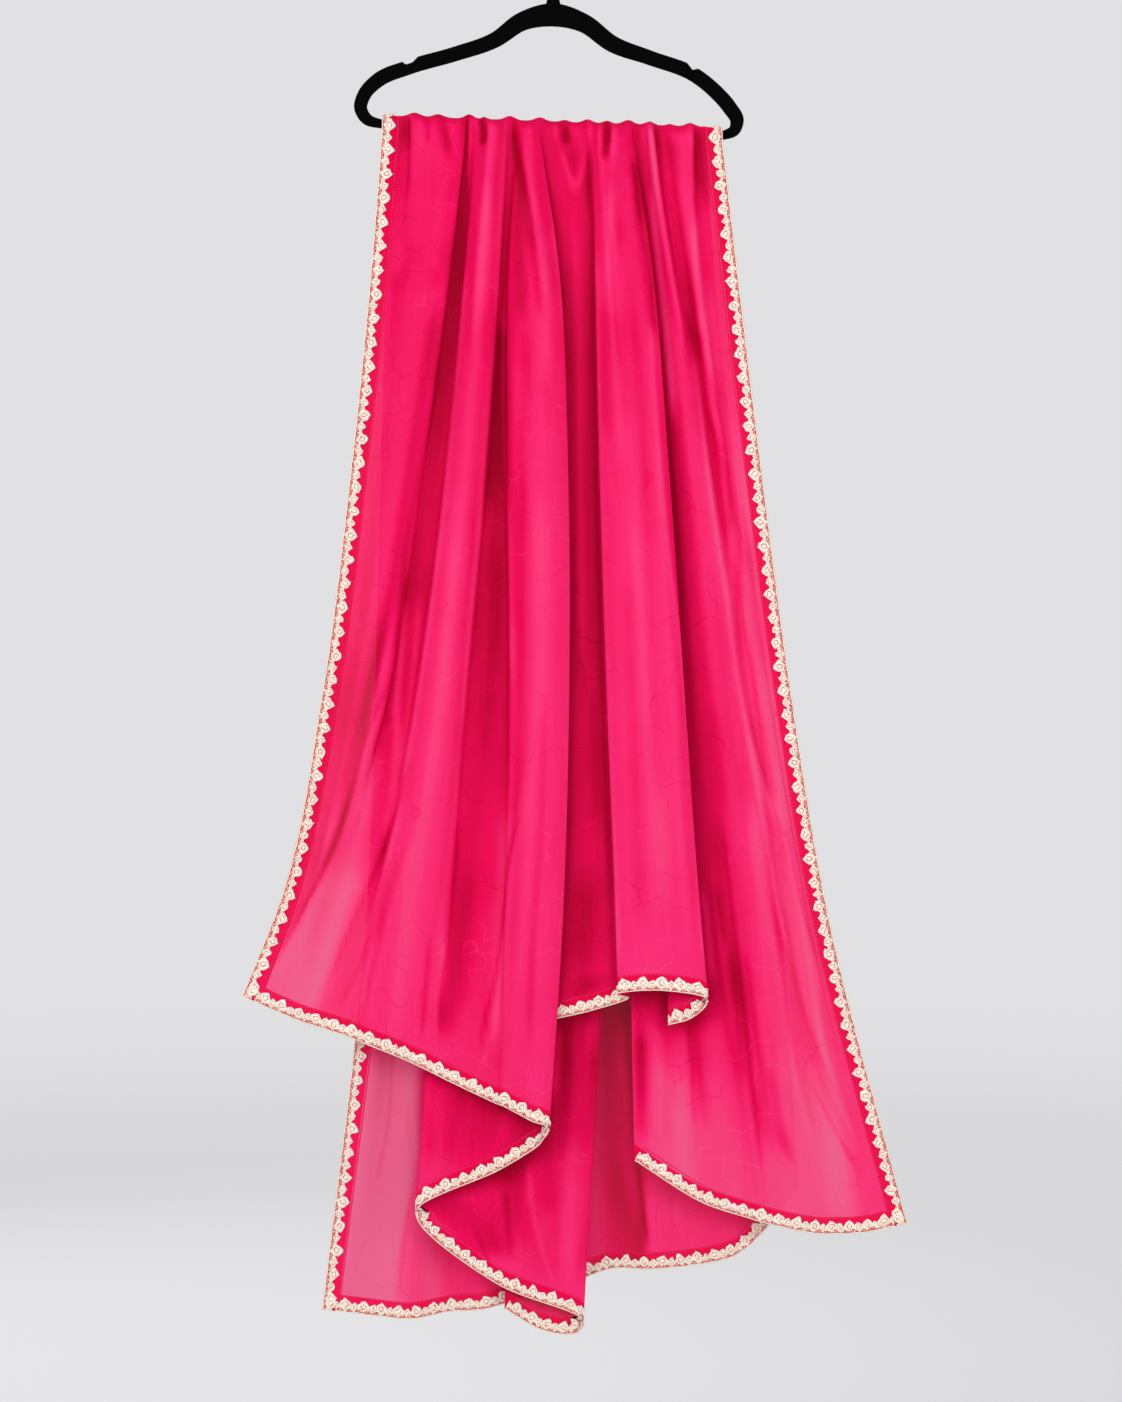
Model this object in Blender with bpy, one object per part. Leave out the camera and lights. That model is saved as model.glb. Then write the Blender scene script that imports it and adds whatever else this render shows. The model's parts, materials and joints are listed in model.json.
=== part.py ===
"""Dupatta stole hung lengthwise over a slim velvet clothes hanger.

The origin is the place where the hook rests on a rail: +Z is up, +X is to the viewer's right and
the front faces -Y. Every size in the tables is in millimetres.

The cloth is drawn by fold tables. A row is one fold line that runs down a stretch of cloth, and its
columns say where the line is at fixed heights, how far it stands out, and where it meets the hem.
"""

import math
from collections import namedtuple

import bpy
import numpy as np

MM = 0.001

# Cloth and lace.
CLOTH_WALL = 1.2
LACE_WALL = 0.8
SEAM_GAP = 0.35
RIDGE_SEAM = 0.8
HEM_BAND = 24.0
LACE_WIDE = 18.0
LACE_NARROW = 11.0
LACE_REPEAT = 23.0
LACE_CORNER = 20.0
LACE_TURN = 8.0
LACE_SNAP = 2.5
LACE_RIDGE = 3.0
LACE_UNDER_BAR = 34.0

# Heights below the rail at which a fold table gives x, and at which it gives y.
TOP_HEIGHT = -198.0
CASCADE_TOP = -289.0
X_HEIGHTS = (-357.0, -606.0, -855.0, -1081.0)
Y_HEIGHTS = (-357.0, -855.0)

# The cloth's upper line over the bar leans a little to the right, as the hanger does.
RIDGE_LEFT_X = -181.0
RIDGE_LEFT_Z = -193.9
RIDGE_SLOPE = -0.0353
RIDGE_TO_FRONT = 14.0
RIDGE_LIFT = 0.35
FLAT_DEPTH = 5.2

# Rows of each stretch.
ARCH_ROWS = 3
HANGING_ROWS = 15
CASCADE_ROWS = 12
ROW_CROWDING = 1.35

# Hanger.
FRAME_THICK = 5.0
FRAME_CHAMFER = 1.5
FRAME_CUTS = 3
FRAME_SIDES = 8
NECK_HALF_WIDTH = 6.8
NECK_TOP = -56.0
NECK_FOOT = -76.0
NECK_X = -2.0
NECK_FLARE = 4.0
NECK_SHOULDER = 6.0
NECK_TOP_INSET = 2.0
NECK_THINNER = 0.2
HOOK_WIRE = 4.0
HOOK_RADIUS = 22.0
HOOK_START_DEG = -45.0
HOOK_END_DEG = 205.0
HOOK_STEPS = 36
HOOK_BEND_STEPS = 10
HOOK_BEND_PULL = 22.0
FERRULE_RADIUS = 4.6
FERRULE_HEIGHT = 9.0
FERRULE_SIDES = 20
NOTCH_PLACES = ((-166.5, -129.5), (156.5, -135.5))
NOTCH_RADIUS = 6.5
NOTCH_SIDES = 20

Fold = namedtuple("Fold", "name cuts x_top x_357 x_606 x_855 x_1081 x_hem z_hem y_top y_357 y_855 y_hem")

FRONT_LEFT = (
    Fold("edge", 1, -195, -207, -232, -264, -310, -352, -1187, -5.2, -8, -14, -20),
    Fold("stitch_line", 2, -170, -182, -206, -238, -284, -325, -1201, -5.2, -9, -15, -21),
    Fold("crest_1", 3, -155, -163, -185, -224, -276, -305, -1209, -12, -17, -22, -24),
    Fold("edge_1_right", 2, -103, -119, -153, -195, -268, -286, -1217, -8.5, -21, -24, -24),
    Fold("valley_1_left", 1, -98, -117, -148, -188, -248, -264, -1224, -5.2, -9, -15, -23),
    Fold("valley_1_right", 2, -92, -102, -127, -162, -207, -230, -1235, -5.2, -9, -15, -25),
    Fold("edge_2_left", 3, -86, -100, -122, -157, -199, -215, -1241, -8.5, -18, -24, -28),
    Fold("crest_2", 3, -70, -78, -100, -129, -160, -171, -1258, -13, -27, -33, -33),
    Fold("edge_2_right", 2, -54, -62, -79, -102, -120, -135, -1275, -8.5, -20, -26, -34),
    Fold("valley_2_left", 1, -50, -61, -76, -96, -112, -119, -1283, -5.2, -9, -15, -35),
    Fold("valley_2_right", 2, -43, -52, -55, -54, -60, -69, -1306, -5.2, -9, -15, -40),
    Fold("edge_3_left", 3, -38, -50, -51, -50, -53, -57, -1310, -8.5, -22, -36, -45),
    Fold("crest_3", 3, -29, -24, -17, -16, -20, -27, -1325, -13, -34, -48, -53),
    Fold("edge_3_right", 2, -22, 3, 15, 16, 10, -6, -1335, -9, -25, -40, -50),
    Fold("turn_back", 0, -18, 0, 8, 8, 0, -14, -1349, -6, -18, -32, -44),
)
CASCADE = (
    Fold("start", 2, -11, -5, 3, 2, -3, -17, -1354, -11, -14, -27, -37),
    Fold("middle_b", 3, -15, -14, -28, -42, -53, -62, -1383, -9, -8, -14, -30),
    Fold("turn_left", 1, -24, -32, -68, -101, -130, -156, -1429, -7.5, -5.5, -10.5, -24),
    Fold("turn_left_behind", 2, -22, -28, -63, -95, -125, -152, -1446, -5, -3, -7.5, -20),
    Fold("middle_c", 3, -11, -11, -11, -28, -45, -65, -1513, -4.5, -2.5, -7, -19),
    Fold("turn_right", 1, -3, 5, 34, 48, 53, 32, -1555, -4.2, -2.5, -7, -17),
    Fold("turn_right_behind", 2, -6, 1, 29, 42, 48, 25, -1569, -2, 0.5, -3, -12),
    Fold("middle_d", 2, -10, -6, 6, 6, 1, -14, -1567, -1.6, 0.5, -2.5, -9),
    Fold("turn_left_low", 0, -16, -11, -20, -35, -49, -57, -1543, -1.6, 0.5, -2, -8),
)
CENTRE = (
    Fold("start", 2, -17.2, 0, 10, 10, 6, 0, -1213, -5.5, -12.5, -22, -36),
    Fold("recess", 2, 12, 26, 34, 37, 40, 40, -1204, -10, -11, -21, -35),
    Fold("recess_right", 2, 37, 50, 58, 70, 79, 84, -1189, -5.2, -12, -23, -37),
    Fold("edge_4_left", 3, 43, 45, 50, 58, 67, 70, -1184, -8.5, -20, -36, -46),
    Fold("crest_4", 3, 65, 75, 92, 104, 117, 121, -1180, -13, -28, -44, -50),
    Fold("edge_4_right", 2, 83, 108, 129, 146, 162, 172, -1193, -8.5, -20, -36, -44),
    Fold("turn_back", 2, 86, 105, 121, 137, 148, 153, -1212, -6.5, -15.5, -29, -38),
    Fold("turn_back_end", 0, 89, 102, 112, 121, 126, 127, -1220, -5.2, -13, -25, -34),
)
FRONT_RIGHT = (
    Fold("edge_fold", 2, 90.2, 97, 105, 102, 87, 89, -1373, -5.2, -8.5, -15, -22),
    Fold("valley_4", 2, 94.5, 108, 128, 146, 161, 166, -1421, -5.2, -9.5, -16, -22),
    Fold("edge_5_left", 3, 101, 115, 137, 164, 189, 212, -1436, -8.5, -13, -24, -26),
    Fold("crest_5", 3, 106, 125, 155, 187, 221, 249, -1446, -12, -21, -31, -30),
    Fold("edge_5_right", 2, 112, 137, 174, 211, 248, 294, -1455, -8.5, -16, -26, -27),
    Fold("valley_5", 3, 118, 144, 182, 223, 264, 318, -1456, -5.2, -9, -17, -22),
    Fold("crest_6", 3, 136, 153, 192, 232, 273, 338, -1455, -12, -14, -19, -24),
    Fold("edge_6_right", 2, 153, 164, 204, 241, 281, 359, -1453, -8.5, -11, -16, -21),
    Fold("stitch_line", 1, 163, 181, 211, 244, 281.5, 372, -1450, -5.2, -8, -13, -20),
    Fold("edge", 0, 187, 205, 235, 268, 305, 397, -1444, -5.2, -8, -13, -19),
)
BACK = (
    Fold("left_edge", 1, -191, -193, -198, -205, -213, -264, -1546, 5.2, 6, 8, 4),
    Fold("stitch_line", 3, -167, -169, -174, -181, -189, -238, -1549, 5.2, 6, 8, 6),
    Fold("crest_1", 3, -145, -149, -157, -165, -172, -203, -1555, 9, 14, 20, 14),
    Fold("valley_1", 3, -119, -123, -130, -138, -144, -163, -1557, 5.2, 6, 9, 6),
    Fold("crest_2", 3, -91, -96, -101, -105, -110, -120, -1551, 11, 16, 24, 18),
    Fold("valley_2", 3, -62, -66, -70, -74, -77, -80, -1546, 5.2, 6, 9, 6),
    Fold("crest_3", 3, -34, -36, -38, -40, -40, -37, -1535, 12, 18, 26, 20),
    Fold("valley_3", 3, -3, -6, -7, -6, -2, 8, -1521, 5.2, 6, 10, 8),
    Fold("crest_4", 3, 26, 25, 27, 32, 40, 62, -1503, 12, 18, 26, 20),
    Fold("valley_4", 3, 57, 57, 63, 72, 83, 108, -1501, 5.2, 6, 10, 8),
    Fold("crest_5", 3, 85, 87, 100, 113, 128, 158, -1498, 11, 17, 24, 18),
    Fold("valley_5", 3, 113, 115, 132, 151, 168, 203, -1486, 5.2, 7, 9, 7),
    Fold("crest_6", 3, 135, 138, 158, 181, 201, 230, -1466, 9, 13, 16, 13),
    Fold("stitch_line", 1, 147, 156, 181, 207, 231, 252, -1439, 5.2, 7, 9, 6),
    Fold("right_edge", 0, 171, 180, 205, 231, 255, 276, -1407, 5.2, 7, 9, 6),
)

# Places around the hanger's frame, clockwise from the neck: middle of the strip and its height.
FramePlace = namedtuple("FramePlace", "x z height")
FRAME = (
    FramePlace(-2, -79.6, 24.9),
    FramePlace(32, -88.6, 20.4),
    FramePlace(65, -112.4, 18.1),
    FramePlace(108, -128.3, 15.8),
    FramePlace(158, -147.5, 15.8),
    FramePlace(182, -166.7, 15.8),
    FramePlace(198, -184.9, 15.8),
    FramePlace(206, -199.0, 14.7),
    FramePlace(203, -210.0, 12.6),
    FramePlace(191, -215.6, 9.8),
    FramePlace(166, -214.9, 9.6),
    FramePlace(85, -212.4, 9.6),
    FramePlace(-2, -209.4, 9.6),
    FramePlace(-91, -206.2, 9.6),
    FramePlace(-174, -203.4, 9.6),
    FramePlace(-198, -202.6, 9.8),
    FramePlace(-213, -197.4, 12.6),
    FramePlace(-220, -184.9, 14.1),
    FramePlace(-216, -170.1, 14.7),
    FramePlace(-200, -153.2, 15.8),
    FramePlace(-166, -139.0, 15.8),
    FramePlace(-113, -123.7, 15.8),
    FramePlace(-68, -107.9, 17.0),
    FramePlace(-36, -86.4, 20.4),
)

Finish = namedtuple("Finish", "name color roughness metallic")
CLOTH = Finish("sheer_pink_cloth", (0.93, 0.03, 0.18), 0.55, 0.0)
LACE = Finish("ivory_lace", (0.83, 0.74, 0.58), 0.8, 0.0)
VELVET = Finish("black_velvet", (0.006, 0.006, 0.007), 0.95, 0.0)
STEEL = Finish("polished_steel", (0.62, 0.62, 0.63), 0.22, 1.0)

# Which face of a sheet a lace tape lies on: the one its normals point to, or the other.
FACE = 1
REVERSE = -1


def clear_scene():
    for obj in list(bpy.data.objects):
        bpy.data.objects.remove(obj, do_unlink=True)


def material(finish):
    found = bpy.data.materials.get(finish.name)
    if found:
        return found
    made = bpy.data.materials.new(finish.name)
    made.use_nodes = True
    shader = made.node_tree.nodes["Principled BSDF"]
    shader.inputs["Base Color"].default_value = (*finish.color, 1.0)
    shader.inputs["Roughness"].default_value = finish.roughness
    shader.inputs["Metallic"].default_value = finish.metallic
    return made


def add_object(name, points, faces, finish, smooth=True):
    """Makes one closed mesh from points in millimetres, with its faces outward."""
    points = np.asarray(points, float)
    volume = 0.0
    for face in faces:
        for second, third in zip(face[1:-1], face[2:]):
            volume += np.dot(points[face[0]], np.cross(points[second], points[third]))
    if volume < 0:
        faces = [tuple(reversed(face)) for face in faces]
    mesh = bpy.data.meshes.new(name)
    mesh.from_pydata((points * MM).tolist(), [], faces)
    mesh.validate()
    mesh.materials.append(material(finish))
    if smooth:
        mesh.shade_smooth()
        mesh.set_sharp_from_angle(angle=math.radians(50))
    obj = bpy.data.objects.new(name, mesh)
    bpy.context.scene.collection.objects.link(obj)
    return obj


def tangents(knots, values):
    """Slopes at the knots of a smooth curve through values, from the parabola through three."""
    steps = np.diff(knots)
    slopes = np.diff(values, axis=0) / steps.reshape((-1,) + (1,) * (values.ndim - 1))
    result = np.empty_like(values)
    result[0] = slopes[0]
    result[-1] = slopes[-1]
    for k in range(1, len(knots) - 1):
        before, after = steps[k - 1], steps[k]
        result[k] = (slopes[k - 1] * after + slopes[k] * before) / (before + after)
    return result


def smooth_curve(knots, values, places):
    """Cubic curve through values at rising knots, read at places."""
    knots = np.asarray(knots, float)
    values = np.asarray(values, float)
    slopes = tangents(knots, values)
    span = np.clip(np.searchsorted(knots, places, side="right") - 1, 0, len(knots) - 2)
    width = knots[span + 1] - knots[span]
    t = (places - knots[span]) / width
    shape = (-1,) + (1,) * (values.ndim - 1)
    t, width = t.reshape(shape), width.reshape(shape)
    start = values[span] * (1 + 2 * t) * (1 - t) ** 2 + slopes[span] * width * t * (1 - t) ** 2
    end = values[span + 1] * t**2 * (3 - 2 * t) - slopes[span + 1] * width * t**2 * (1 - t)
    return start + end


def ridge_height(x):
    return RIDGE_LEFT_Z + RIDGE_SLOPE * (x - RIDGE_LEFT_X)


def row_heights(top, hem, rows):
    """Heights from the top down to the stitch line of the hem band, closer at the top, then the hem."""
    fractions = (np.arange(rows) / (rows - 1)) ** ROW_CROWDING
    return np.append(top + (hem + HEM_BAND - top) * fractions, hem)


def fold_line(fold, top, table_top, rows):
    """Points down one fold line from the height top. The table's first values hold at table_top."""
    heights = row_heights(top, fold.z_hem, rows)
    x_knots = -np.array((table_top, *X_HEIGHTS, fold.z_hem))
    y_knots = -np.array((table_top, *Y_HEIGHTS, fold.z_hem))
    x_values = (fold.x_top, fold.x_357, fold.x_606, fold.x_855, fold.x_1081, fold.x_hem)
    y_values = (fold.y_top, fold.y_357, fold.y_855, fold.y_hem)
    places = np.maximum(-heights, x_knots[0])
    x = smooth_curve(x_knots, x_values, places)
    y = smooth_curve(y_knots, y_values, places)
    return np.column_stack((x, y, heights))


def across(lines, folds):
    """Adds columns between the fold lines, on a smooth curve through each row."""
    rows = lines.shape[1]
    steps = np.linalg.norm(np.diff(lines, axis=0), axis=2).mean(axis=1) ** 0.5
    knots = np.concatenate(([0.0], np.cumsum(steps)))
    places = [0.0]
    for k, fold in enumerate(folds[:-1]):
        for cut in range(1, fold.cuts + 1):
            places.append(knots[k] + (knots[k + 1] - knots[k]) * cut / fold.cuts)
    grid = smooth_curve(knots, lines, np.array(places))
    return np.swapaxes(grid, 0, 1).reshape(rows, len(places), 3)


def over_the_bar(grid):
    """Rows that carry the top of a hanging grid up to the ridge over the bar."""
    top = grid[0]
    ridge = ridge_height(top[:, 0]) + RIDGE_LIFT * (np.abs(top[:, 1]) - FLAT_DEPTH)
    rows = []
    for k in range(ARCH_ROWS, 0, -1):
        angle = math.radians(90.0 * k / ARCH_ROWS)
        row = top.copy()
        row[:, 1] = top[:, 1] * math.cos(angle)
        row[:, 2] = top[:, 2] + (ridge - top[:, 2]) * math.sin(angle)
        rows.append(row)
    side = np.sign(top[:, 1])
    rows[0][:, 1] = side * RIDGE_SEAM / 2
    return np.concatenate((np.array(rows), grid))


def normals_of(grid):
    down = np.gradient(grid, axis=0)
    right = np.gradient(grid, axis=1)
    normal = np.cross(down, right)
    return normal / np.linalg.norm(normal, axis=2, keepdims=True)


class Sheet:
    """One stretch of cloth: the middle surface of its wall as rows of points, and its normals."""

    def __init__(self, folds, rows, top=None):
        lines = []
        for fold in folds:
            if top is None:
                start = ridge_height(fold.x_top) - RIDGE_TO_FRONT
                lines.append(fold_line(fold, start, TOP_HEIGHT, rows))
            else:
                lines.append(fold_line(fold, top, top, rows))
        grid = across(np.array(lines), folds)
        self.points = over_the_bar(grid) if top is None else grid
        self.normals = normals_of(self.points)
        self.folds = folds

    def column(self, name):
        """Number of the column on a named fold line."""
        total = 0
        for fold in self.folds:
            if fold.name == name:
                return total
            total += fold.cuts
        raise ValueError(name)

    def faces_between(self, near, far):
        """A closed wall between two offsets along the normals."""
        return wall_of(self.points + self.normals * near, self.points + self.normals * far)


def wall_of(inner, outer):
    """Points and faces of the closed wall between two grids."""
    rows, columns = inner.shape[:2]
    count = rows * columns
    points = np.concatenate((outer.reshape(-1, 3), inner.reshape(-1, 3)))
    faces = []
    for r in range(rows - 1):
        for c in range(columns - 1):
            a = r * columns + c
            quad = (a, a + columns, a + columns + 1, a + 1)
            faces.append(quad)
            faces.append(tuple(count + k for k in reversed(quad)))
    around = list(range(columns))
    around += [r * columns + columns - 1 for r in range(1, rows)]
    around += [(rows - 1) * columns + c for c in range(columns - 2, -1, -1)]
    around += [r * columns for r in range(rows - 2, 0, -1)]
    for a, b in zip(around, around[1:] + around[:1]):
        faces.append((a, b, count + b, count + a))
    return points, faces


def add_cloth(name, sheet):
    add_object(name, *sheet.faces_between(-CLOTH_WALL / 2, CLOTH_WALL / 2), CLOTH)


def read_between(places, values, place):
    """Value at a place along a polyline."""
    k = int(np.clip(np.searchsorted(places, place) - 1, 0, len(places) - 2))
    t = (place - places[k]) / (places[k + 1] - places[k])
    return values[k] * (1 - t) + values[k + 1] * t


def lace_places(lengths, start, end, scalloped):
    """Distances along a border where the lace tape has a point, and its width at each."""
    first, last = lengths[0] + start, lengths[-1] - end
    half = LACE_REPEAT / 2
    if not scalloped:
        inside = [s for s in lengths if first + LACE_SNAP < s < last - LACE_SNAP]
        return [(s, LACE_NARROW) for s in [first, *inside, last]]
    count = max(2, round((last - first) / half))
    peaks = np.linspace(first, last, count + 1)
    widths = [LACE_WIDE if k % 2 else LACE_NARROW for k in range(count + 1)]
    bends = [s for s in lengths if first + LACE_SNAP < s < last - LACE_SNAP]
    stations = {s: float(np.interp(s, peaks, widths)) for s in bends}
    for place, width in zip(peaks, widths):
        near = min(bends, key=lambda s: abs(s - place), default=place + LACE_REPEAT)
        stations[near if abs(near - place) < LACE_SNAP else place] = width
    return sorted(stations.items())


def add_lace(name, sheet, rim, inward, face, scalloped=True, start=0.0, end=0.0):
    """A lace tape along a border, made from the sheet's own points moved out of its wall.

    rim and inward are index pairs into the sheet's grid: the border's points and, beside each, the
    next points inward on the stitch line.
    """
    rim_points, inner_points = sheet.points[rim], sheet.points[inward]
    rim_normals, inner_normals = sheet.normals[rim], sheet.normals[inward]
    steps = np.linalg.norm(np.diff(rim_points, axis=0), axis=1)
    lengths = np.concatenate(([0.0], np.cumsum(steps)))
    near = face * (CLOTH_WALL / 2 + SEAM_GAP)
    far = face * (CLOTH_WALL / 2 + SEAM_GAP + LACE_WALL)
    inner, outer = [], []
    for place, width in lace_places(lengths, start, end, scalloped):
        edge = read_between(lengths, rim_points, place)
        stitch = read_between(lengths, inner_points, place)
        edge_normal = read_between(lengths, rim_normals, place)
        stitch_normal = read_between(lengths, inner_normals, place)
        share = width / np.linalg.norm(stitch - edge)
        point = edge + (stitch - edge) * share
        normal = edge_normal + (stitch_normal - edge_normal) * share
        inner.append((edge + edge_normal * near, point + normal * near))
        outer.append((edge + edge_normal * far, point + normal * far))
    points, faces = wall_of(np.array(inner), np.array(outer))
    add_object(name, points, faces, LACE)


def side_border(sheet, column, inward):
    rows = np.arange(sheet.points.shape[0])
    return (rows, np.full(len(rows), column)), (rows, np.full(len(rows), inward))


def hem_border(sheet, start, end):
    columns = np.arange(sheet.column(start), sheet.column(end) + 1)
    last = sheet.points.shape[0] - 1
    return (np.full(len(columns), last), columns), (np.full(len(columns), last - 1), columns)


def add_front_left():
    sheet = Sheet(FRONT_LEFT, HANGING_ROWS)
    add_cloth("cloth_front_left", sheet)
    side = side_border(sheet, 0, 1)
    hem = hem_border(sheet, "edge", "edge_3_right")
    add_lace("lace_left_edge", sheet, *side, FACE, start=LACE_RIDGE)
    add_lace("lace_left_edge_reverse", sheet, *side, REVERSE, False, LACE_UNDER_BAR)
    add_lace("lace_hem_left", sheet, *hem, FACE, start=LACE_CORNER)
    add_lace("lace_hem_left_reverse", sheet, *hem, REVERSE, False, LACE_CORNER, LACE_TURN)


def add_cascade():
    sheet = Sheet(CASCADE, CASCADE_ROWS, CASCADE_TOP)
    add_cloth("cloth_cascade", sheet)
    first = hem_border(sheet, "start", "turn_left")
    second = hem_border(sheet, "turn_left_behind", "turn_right")
    third = hem_border(sheet, "turn_right_behind", "turn_left_low")
    add_lace("lace_hem_cascade_upper", sheet, *first, REVERSE, start=LACE_TURN / 2)
    add_lace("lace_hem_cascade_middle", sheet, *second, FACE, start=LACE_TURN)
    add_lace("lace_hem_cascade_lower", sheet, *third, REVERSE, start=LACE_TURN)


def add_centre():
    sheet = Sheet(CENTRE, HANGING_ROWS)
    add_cloth("cloth_centre", sheet)
    recess = hem_border(sheet, "start", "recess_right")
    pleat = hem_border(sheet, "edge_4_left", "edge_4_right")
    turn = hem_border(sheet, "edge_4_right", "turn_back_end")
    add_lace("lace_hem_recess", sheet, *recess, FACE, end=LACE_TURN)
    add_lace("lace_hem_pleat", sheet, *pleat, FACE)
    add_lace("lace_hem_pleat_turned", sheet, *turn, REVERSE, start=LACE_TURN)


def add_front_right():
    sheet = Sheet(FRONT_RIGHT, HANGING_ROWS)
    add_cloth("cloth_front_right", sheet)
    last = sheet.points.shape[1] - 1
    side = side_border(sheet, last, last - 1)
    hem = hem_border(sheet, "edge_fold", "edge")
    add_lace("lace_right_edge", sheet, *side, FACE, start=LACE_RIDGE)
    add_lace("lace_right_edge_reverse", sheet, *side, REVERSE, False, LACE_UNDER_BAR)
    add_lace("lace_hem_right", sheet, *hem, FACE, end=LACE_CORNER)
    add_lace("lace_hem_right_reverse", sheet, *hem, REVERSE, False, 0.0, LACE_CORNER)


def add_back():
    sheet = Sheet(BACK, HANGING_ROWS)
    add_cloth("cloth_back", sheet)
    last = sheet.points.shape[1] - 1
    left = side_border(sheet, 0, 1)
    right = side_border(sheet, last, last - 1)
    hem = hem_border(sheet, "left_edge", "right_edge")
    corners = {"start": LACE_CORNER, "end": LACE_CORNER}
    add_lace("lace_back_left_edge", sheet, *left, FACE, start=LACE_UNDER_BAR)
    add_lace("lace_back_left_edge_reverse", sheet, *left, REVERSE, False, LACE_RIDGE)
    add_lace("lace_back_right_edge", sheet, *right, FACE, False, LACE_UNDER_BAR)
    add_lace("lace_back_right_edge_reverse", sheet, *right, REVERSE, False, LACE_RIDGE)
    add_lace("lace_hem_back", sheet, *hem, FACE, **corners)
    add_lace("lace_hem_back_reverse", sheet, *hem, REVERSE, scalloped=False, **corners)


def frame_places():
    """Smooth closed run of places around the hanger's frame."""
    table = np.array([(place.x, place.z, place.height) for place in FRAME], float)
    looped = np.concatenate((table[-2:], table, table[:3]))
    steps = np.linalg.norm(np.diff(looped[:, :2], axis=0), axis=1)
    knots = np.concatenate(([0.0], np.cumsum(steps)))
    places = []
    for k in range(2, 2 + len(table)):
        for cut in range(FRAME_CUTS):
            places.append(knots[k] + (knots[k + 1] - knots[k]) * cut / FRAME_CUTS)
    return smooth_curve(knots, looped, np.array(places))


def add_frame():
    """The flat velvet frame: a chamfered strip swept round its loop, with the neck that holds the hook."""
    places = frame_places()
    count = len(places)
    ahead = np.roll(places, -1, axis=0)[:, :2] - np.roll(places, 1, axis=0)[:, :2]
    ahead /= np.linalg.norm(ahead, axis=1, keepdims=True)
    half = FRAME_THICK / 2
    inset = half - FRAME_CHAMFER
    points = []
    for (x, z, height), (run, rise) in zip(places, ahead):
        outward = np.array((-rise, run))
        top = np.array((x, z)) + outward * height / 2
        low = np.array((x, z)) - outward * height / 2
        top_step = top - outward * FRAME_CHAMFER
        low_step = low + outward * FRAME_CHAMFER
        for (px, pz), depth in (
            (top, -inset), (top, inset), (top_step, half), (low_step, half),
            (low, inset), (low, -inset), (low_step, -half), (top_step, -half),
        ):
            points.append((px, depth, pz))
    faces = []
    for k in range(count):
        near = k * FRAME_SIDES
        far = (k + 1) % count * FRAME_SIDES
        for side in range(FRAME_SIDES):
            after = (side + 1) % FRAME_SIDES
            faces.append((near + side, near + after, far + after, far + side))
    frame = add_object("hanger_frame", points, faces, VELVET)
    cut_with(frame, add_neck(), "UNION")
    for k, (x, z) in enumerate(NOTCH_PLACES):
        cut_with(frame, add_notch_cutter(k, x, z), "DIFFERENCE")


def cut_with(obj, helper, operation):
    """Joins a helper to an object or cuts it away, and keeps the helper out of the render."""
    helper.hide_render = True
    helper.display_type = "WIRE"
    modifier = obj.modifiers.new(helper.name, "BOOLEAN")
    modifier.operation = operation
    modifier.object = helper


def rod(x, y, z, radius, length, sides, upright):
    """Points and faces of a round rod whose lower or front end is centred on x, y, z."""
    points = []
    for along in (0.0, length):
        for k in range(sides):
            turn = 2 * math.pi * k / sides
            across_x, across_other = radius * math.cos(turn), radius * math.sin(turn)
            if upright:
                points.append((x + across_x, y + across_other, z + along))
            else:
                points.append((x + across_x, y + along, z + across_other))
    faces = [tuple(range(sides)), tuple(range(2 * sides - 1, sides - 1, -1))]
    for k in range(sides):
        after = (k + 1) % sides
        faces.append((k, sides + k, sides + after, after))
    return points, faces


def add_notch_cutter(number, x, z):
    """Cuts a strap notch in the top of an arm."""
    shape = rod(x, -FRAME_THICK, z, NOTCH_RADIUS, 2 * FRAME_THICK, NOTCH_SIDES, upright=False)
    return add_object(f"notch_cutter_{number + 1}", *shape, VELVET)


def add_neck():
    """Short block that rises from the top of the frame. It is a helper of the frame's union."""
    half = FRAME_THICK / 2 - NECK_THINNER
    levels = (
        (NECK_FOOT, NECK_HALF_WIDTH + NECK_FLARE),
        (NECK_TOP + NECK_SHOULDER, NECK_HALF_WIDTH),
        (NECK_TOP, NECK_HALF_WIDTH - NECK_TOP_INSET),
    )
    points = []
    for z, wide in levels:
        left, right = NECK_X - wide, NECK_X + wide
        points += [(left, -half, z), (right, -half, z), (right, half, z), (left, half, z)]
    faces = [(3, 2, 1, 0), (8, 9, 10, 11)]
    for low in (0, 4):
        for k in range(4):
            after = (k + 1) % 4
            faces.append((low + k, low + after, low + 4 + after, low + 4 + k))
    return add_object("neck_helper", points, faces, VELVET, smooth=False)


def add_ferrule():
    """Steel collar between the neck and the hook's wire."""
    foot = NECK_TOP + SEAM_GAP
    shape = rod(NECK_X, 0.0, foot, FERRULE_RADIUS, FERRULE_HEIGHT, FERRULE_SIDES, upright=True)
    add_object("hook_ferrule", *shape, STEEL)


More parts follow.
